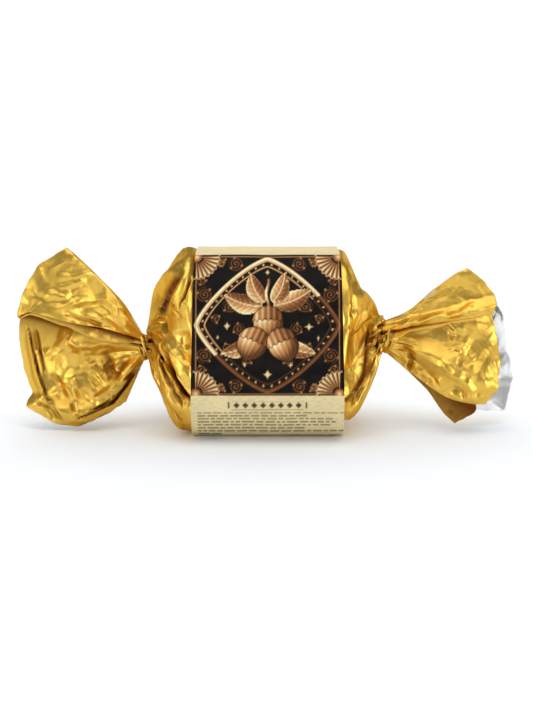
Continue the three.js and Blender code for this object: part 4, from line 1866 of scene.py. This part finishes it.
@dataclass
class Studio:
    """The pale table, the lamps and the camera."""

    lens: float = 85.92
    sensor: float = 36.0
    horizon: float = 1.05
    ceiling: float = 0.25
    table_glow: float = 0.0
    wall_glow: float = 0.95
    table_colour: tuple[float, float, float] = (0.87, 0.9, 0.93)
    half_width: float = 4.0
    lamps_at: tuple[float, float, float] = (0, 0, 0.02)

    def camera(self) -> None:
        """Places the camera at the photograph's viewing angle."""
        data = bpy.data.cameras.new("camera")
        data.sensor_fit = "VERTICAL"
        data.sensor_height = self.sensor
        data.lens = self.lens
        data.clip_start, data.clip_end = 0.01, 20
        camera = bpy.data.objects.new("camera", data)
        cos, sin = math.cos(CAMERA_ELEVATION), math.sin(CAMERA_ELEVATION)
        target = Vector(CAMERA_TARGET) * MM
        camera.location = target + Vector((0, -cos, sin)) * CAMERA_DISTANCE * MM
        camera.rotation_euler = (math.pi / 2 - CAMERA_ELEVATION, 0, 0)
        bpy.context.scene.collection.objects.link(camera)
        bpy.context.scene.camera = camera

    def sheet(
        self, name: str, line: list[tuple[float, float]], glow: tuple[float, float]
    ) -> bpy.types.Object:
        """Lays a stretch of the pale lit sheet that the sweet stands on.

        Args:
            name: its name.
            line: its course, as distances behind the sweet and heights in metres.
            glow: how brightly it is lit from behind, at its near and its far end.

        Returns:
            The sheet.
        """
        width = self.half_width
        points = [(x, y, z) for y, z in line for x in (-width, width)]
        faces = [(2 * i, 2 * i + 1, 2 * i + 3, 2 * i + 2) for i in range(len(line) - 1)]
        mesh = bpy.data.meshes.new(name)
        mesh.from_pydata(points, [], faces)
        mesh.polygons.foreach_set("use_smooth", [True] * len(faces))
        sheet = bpy.data.objects.new(name, mesh)
        material, tree, shader = tree_of(name + "_white")
        settle(shader, {"Base Color": (*self.table_colour, 1), "Emission Color": (1, 1, 1, 1)})
        settle(shader, {"Roughness": 0.9, "Specular IOR Level": 0.1})
        place = add_node(tree, "TexCoord", {}, {})
        parts = add_node(tree, "SeparateXYZ", {}, {"Vector": place.outputs["Object"]})
        rise = add_node(
            tree,
            "MapRange",
            {"From Min": 0.2, "From Max": 1.2, "To Min": glow[0], "To Max": glow[1]},
            {"Value": parts.outputs["Y"]},
        )
        tree.links.new(rise.outputs["Result"], shader.inputs["Emission Strength"])
        mesh.materials.append(material)
        bpy.context.scene.collection.objects.link(sheet)
        return sheet

    def table(self) -> None:
        """Lays the pale table, and the backdrop that it rises to, which the foil doesn't mirror."""
        near, joint, far, top, radius = -2.0, 0.2, 1.6, 3.0, 0.9
        self.sheet("table", [(near, 0.0), (joint, 0.0)], (self.table_glow, self.table_glow))
        line = [(joint, 0.0)]
        for i in range(25):
            bend = math.pi / 2 * i / 24
            back = far - radius + radius * math.sin(bend)
            line.append((back, radius - radius * math.cos(bend)))
        line.append((far, top))
        backdrop = self.sheet("backdrop", line, (self.table_glow, self.wall_glow))
        backdrop.visible_glossy = False

    def lamp(
        self, name: str, place: tuple[float, float, float], size: tuple[float, float], glow: float
    ) -> None:
        """Hangs one softbox that faces the sweet.

        Args:
            name: the lamp's name.
            place: where it hangs, in metres.
            size: its width and height, in metres.
            glow: how bright its face is, where the lit table is about 1.
        """
        data = bpy.data.lights.new(name, "AREA")
        data.shape = "RECTANGLE"
        data.size, data.size_y = size
        data.energy = glow * math.pi * size[0] * size[1]
        lamp = bpy.data.objects.new(name, data)
        lamp.location = place
        aim = Vector(self.lamps_at) - Vector(place)
        lamp.rotation_euler = aim.to_track_quat("-Z", "Y").to_euler()
        bpy.context.scene.collection.objects.link(lamp)

    def build(self) -> None:
        """Builds the whole studio."""
        scene = bpy.context.scene
        scene.view_settings.view_transform = "Standard"
        world = bpy.data.worlds.new("studio")
        world.use_nodes = True
        tree = world.node_tree
        place = add_node(tree, "TexCoord", {}, {})
        parts = add_node(tree, "SeparateXYZ", {}, {"Vector": place.outputs["Generated"]})
        fall = add_node(
            tree,
            "MapRange",
            {"From Min": 0.0, "From Max": 0.35, "To Min": self.horizon, "To Max": self.ceiling},
            {"Value": parts.outputs["Z"]},
            interpolation_type="SMOOTHSTEP",
        )
        background = tree.nodes["Background"]
        tree.links.new(fall.outputs["Result"], background.inputs["Strength"])
        settle(background, {"Color": (1, 1, 1, 1)})
        scene.world = world
        self.camera()
        self.table()
        self.lamp("lamp_left", place=(-1.0, -0.7, 0.33), size=(0.6, 0.6), glow=3.6)
        self.lamp("lamp_right", place=(1.0, -0.7, 0.33), size=(0.6, 0.6), glow=4.0)
        self.lamp("lamp_top", place=(0.0, -0.15, 1.1), size=(1.5, 1.1), glow=1.7)


def main() -> None:
    """Builds the praline and its studio."""
    logging.basicConfig(level=logging.INFO, format="%(message)s")
    Studio().build()
    pieces = [
        (FoilBody(LEFT_SHOULDER, RIGHT_SHOULDER).build(), "foil_wrapper", GOLD_SLOT),
        (LEFT_TAIL.build(), "foil_wrapper", GOLD_SLOT),
        (RIGHT_TAIL.build(), "foil_wrapper", GOLD_SLOT),
        (PaperBand().build(), "paper_band", PAPER_SLOT),
    ]
    for piece, node, slot in pieces:
        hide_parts(node)
        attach(piece, "root")
        log.info("%s: %d faces", piece.name, len(piece.data.polygons))


if __name__ == "__main__":
    main()
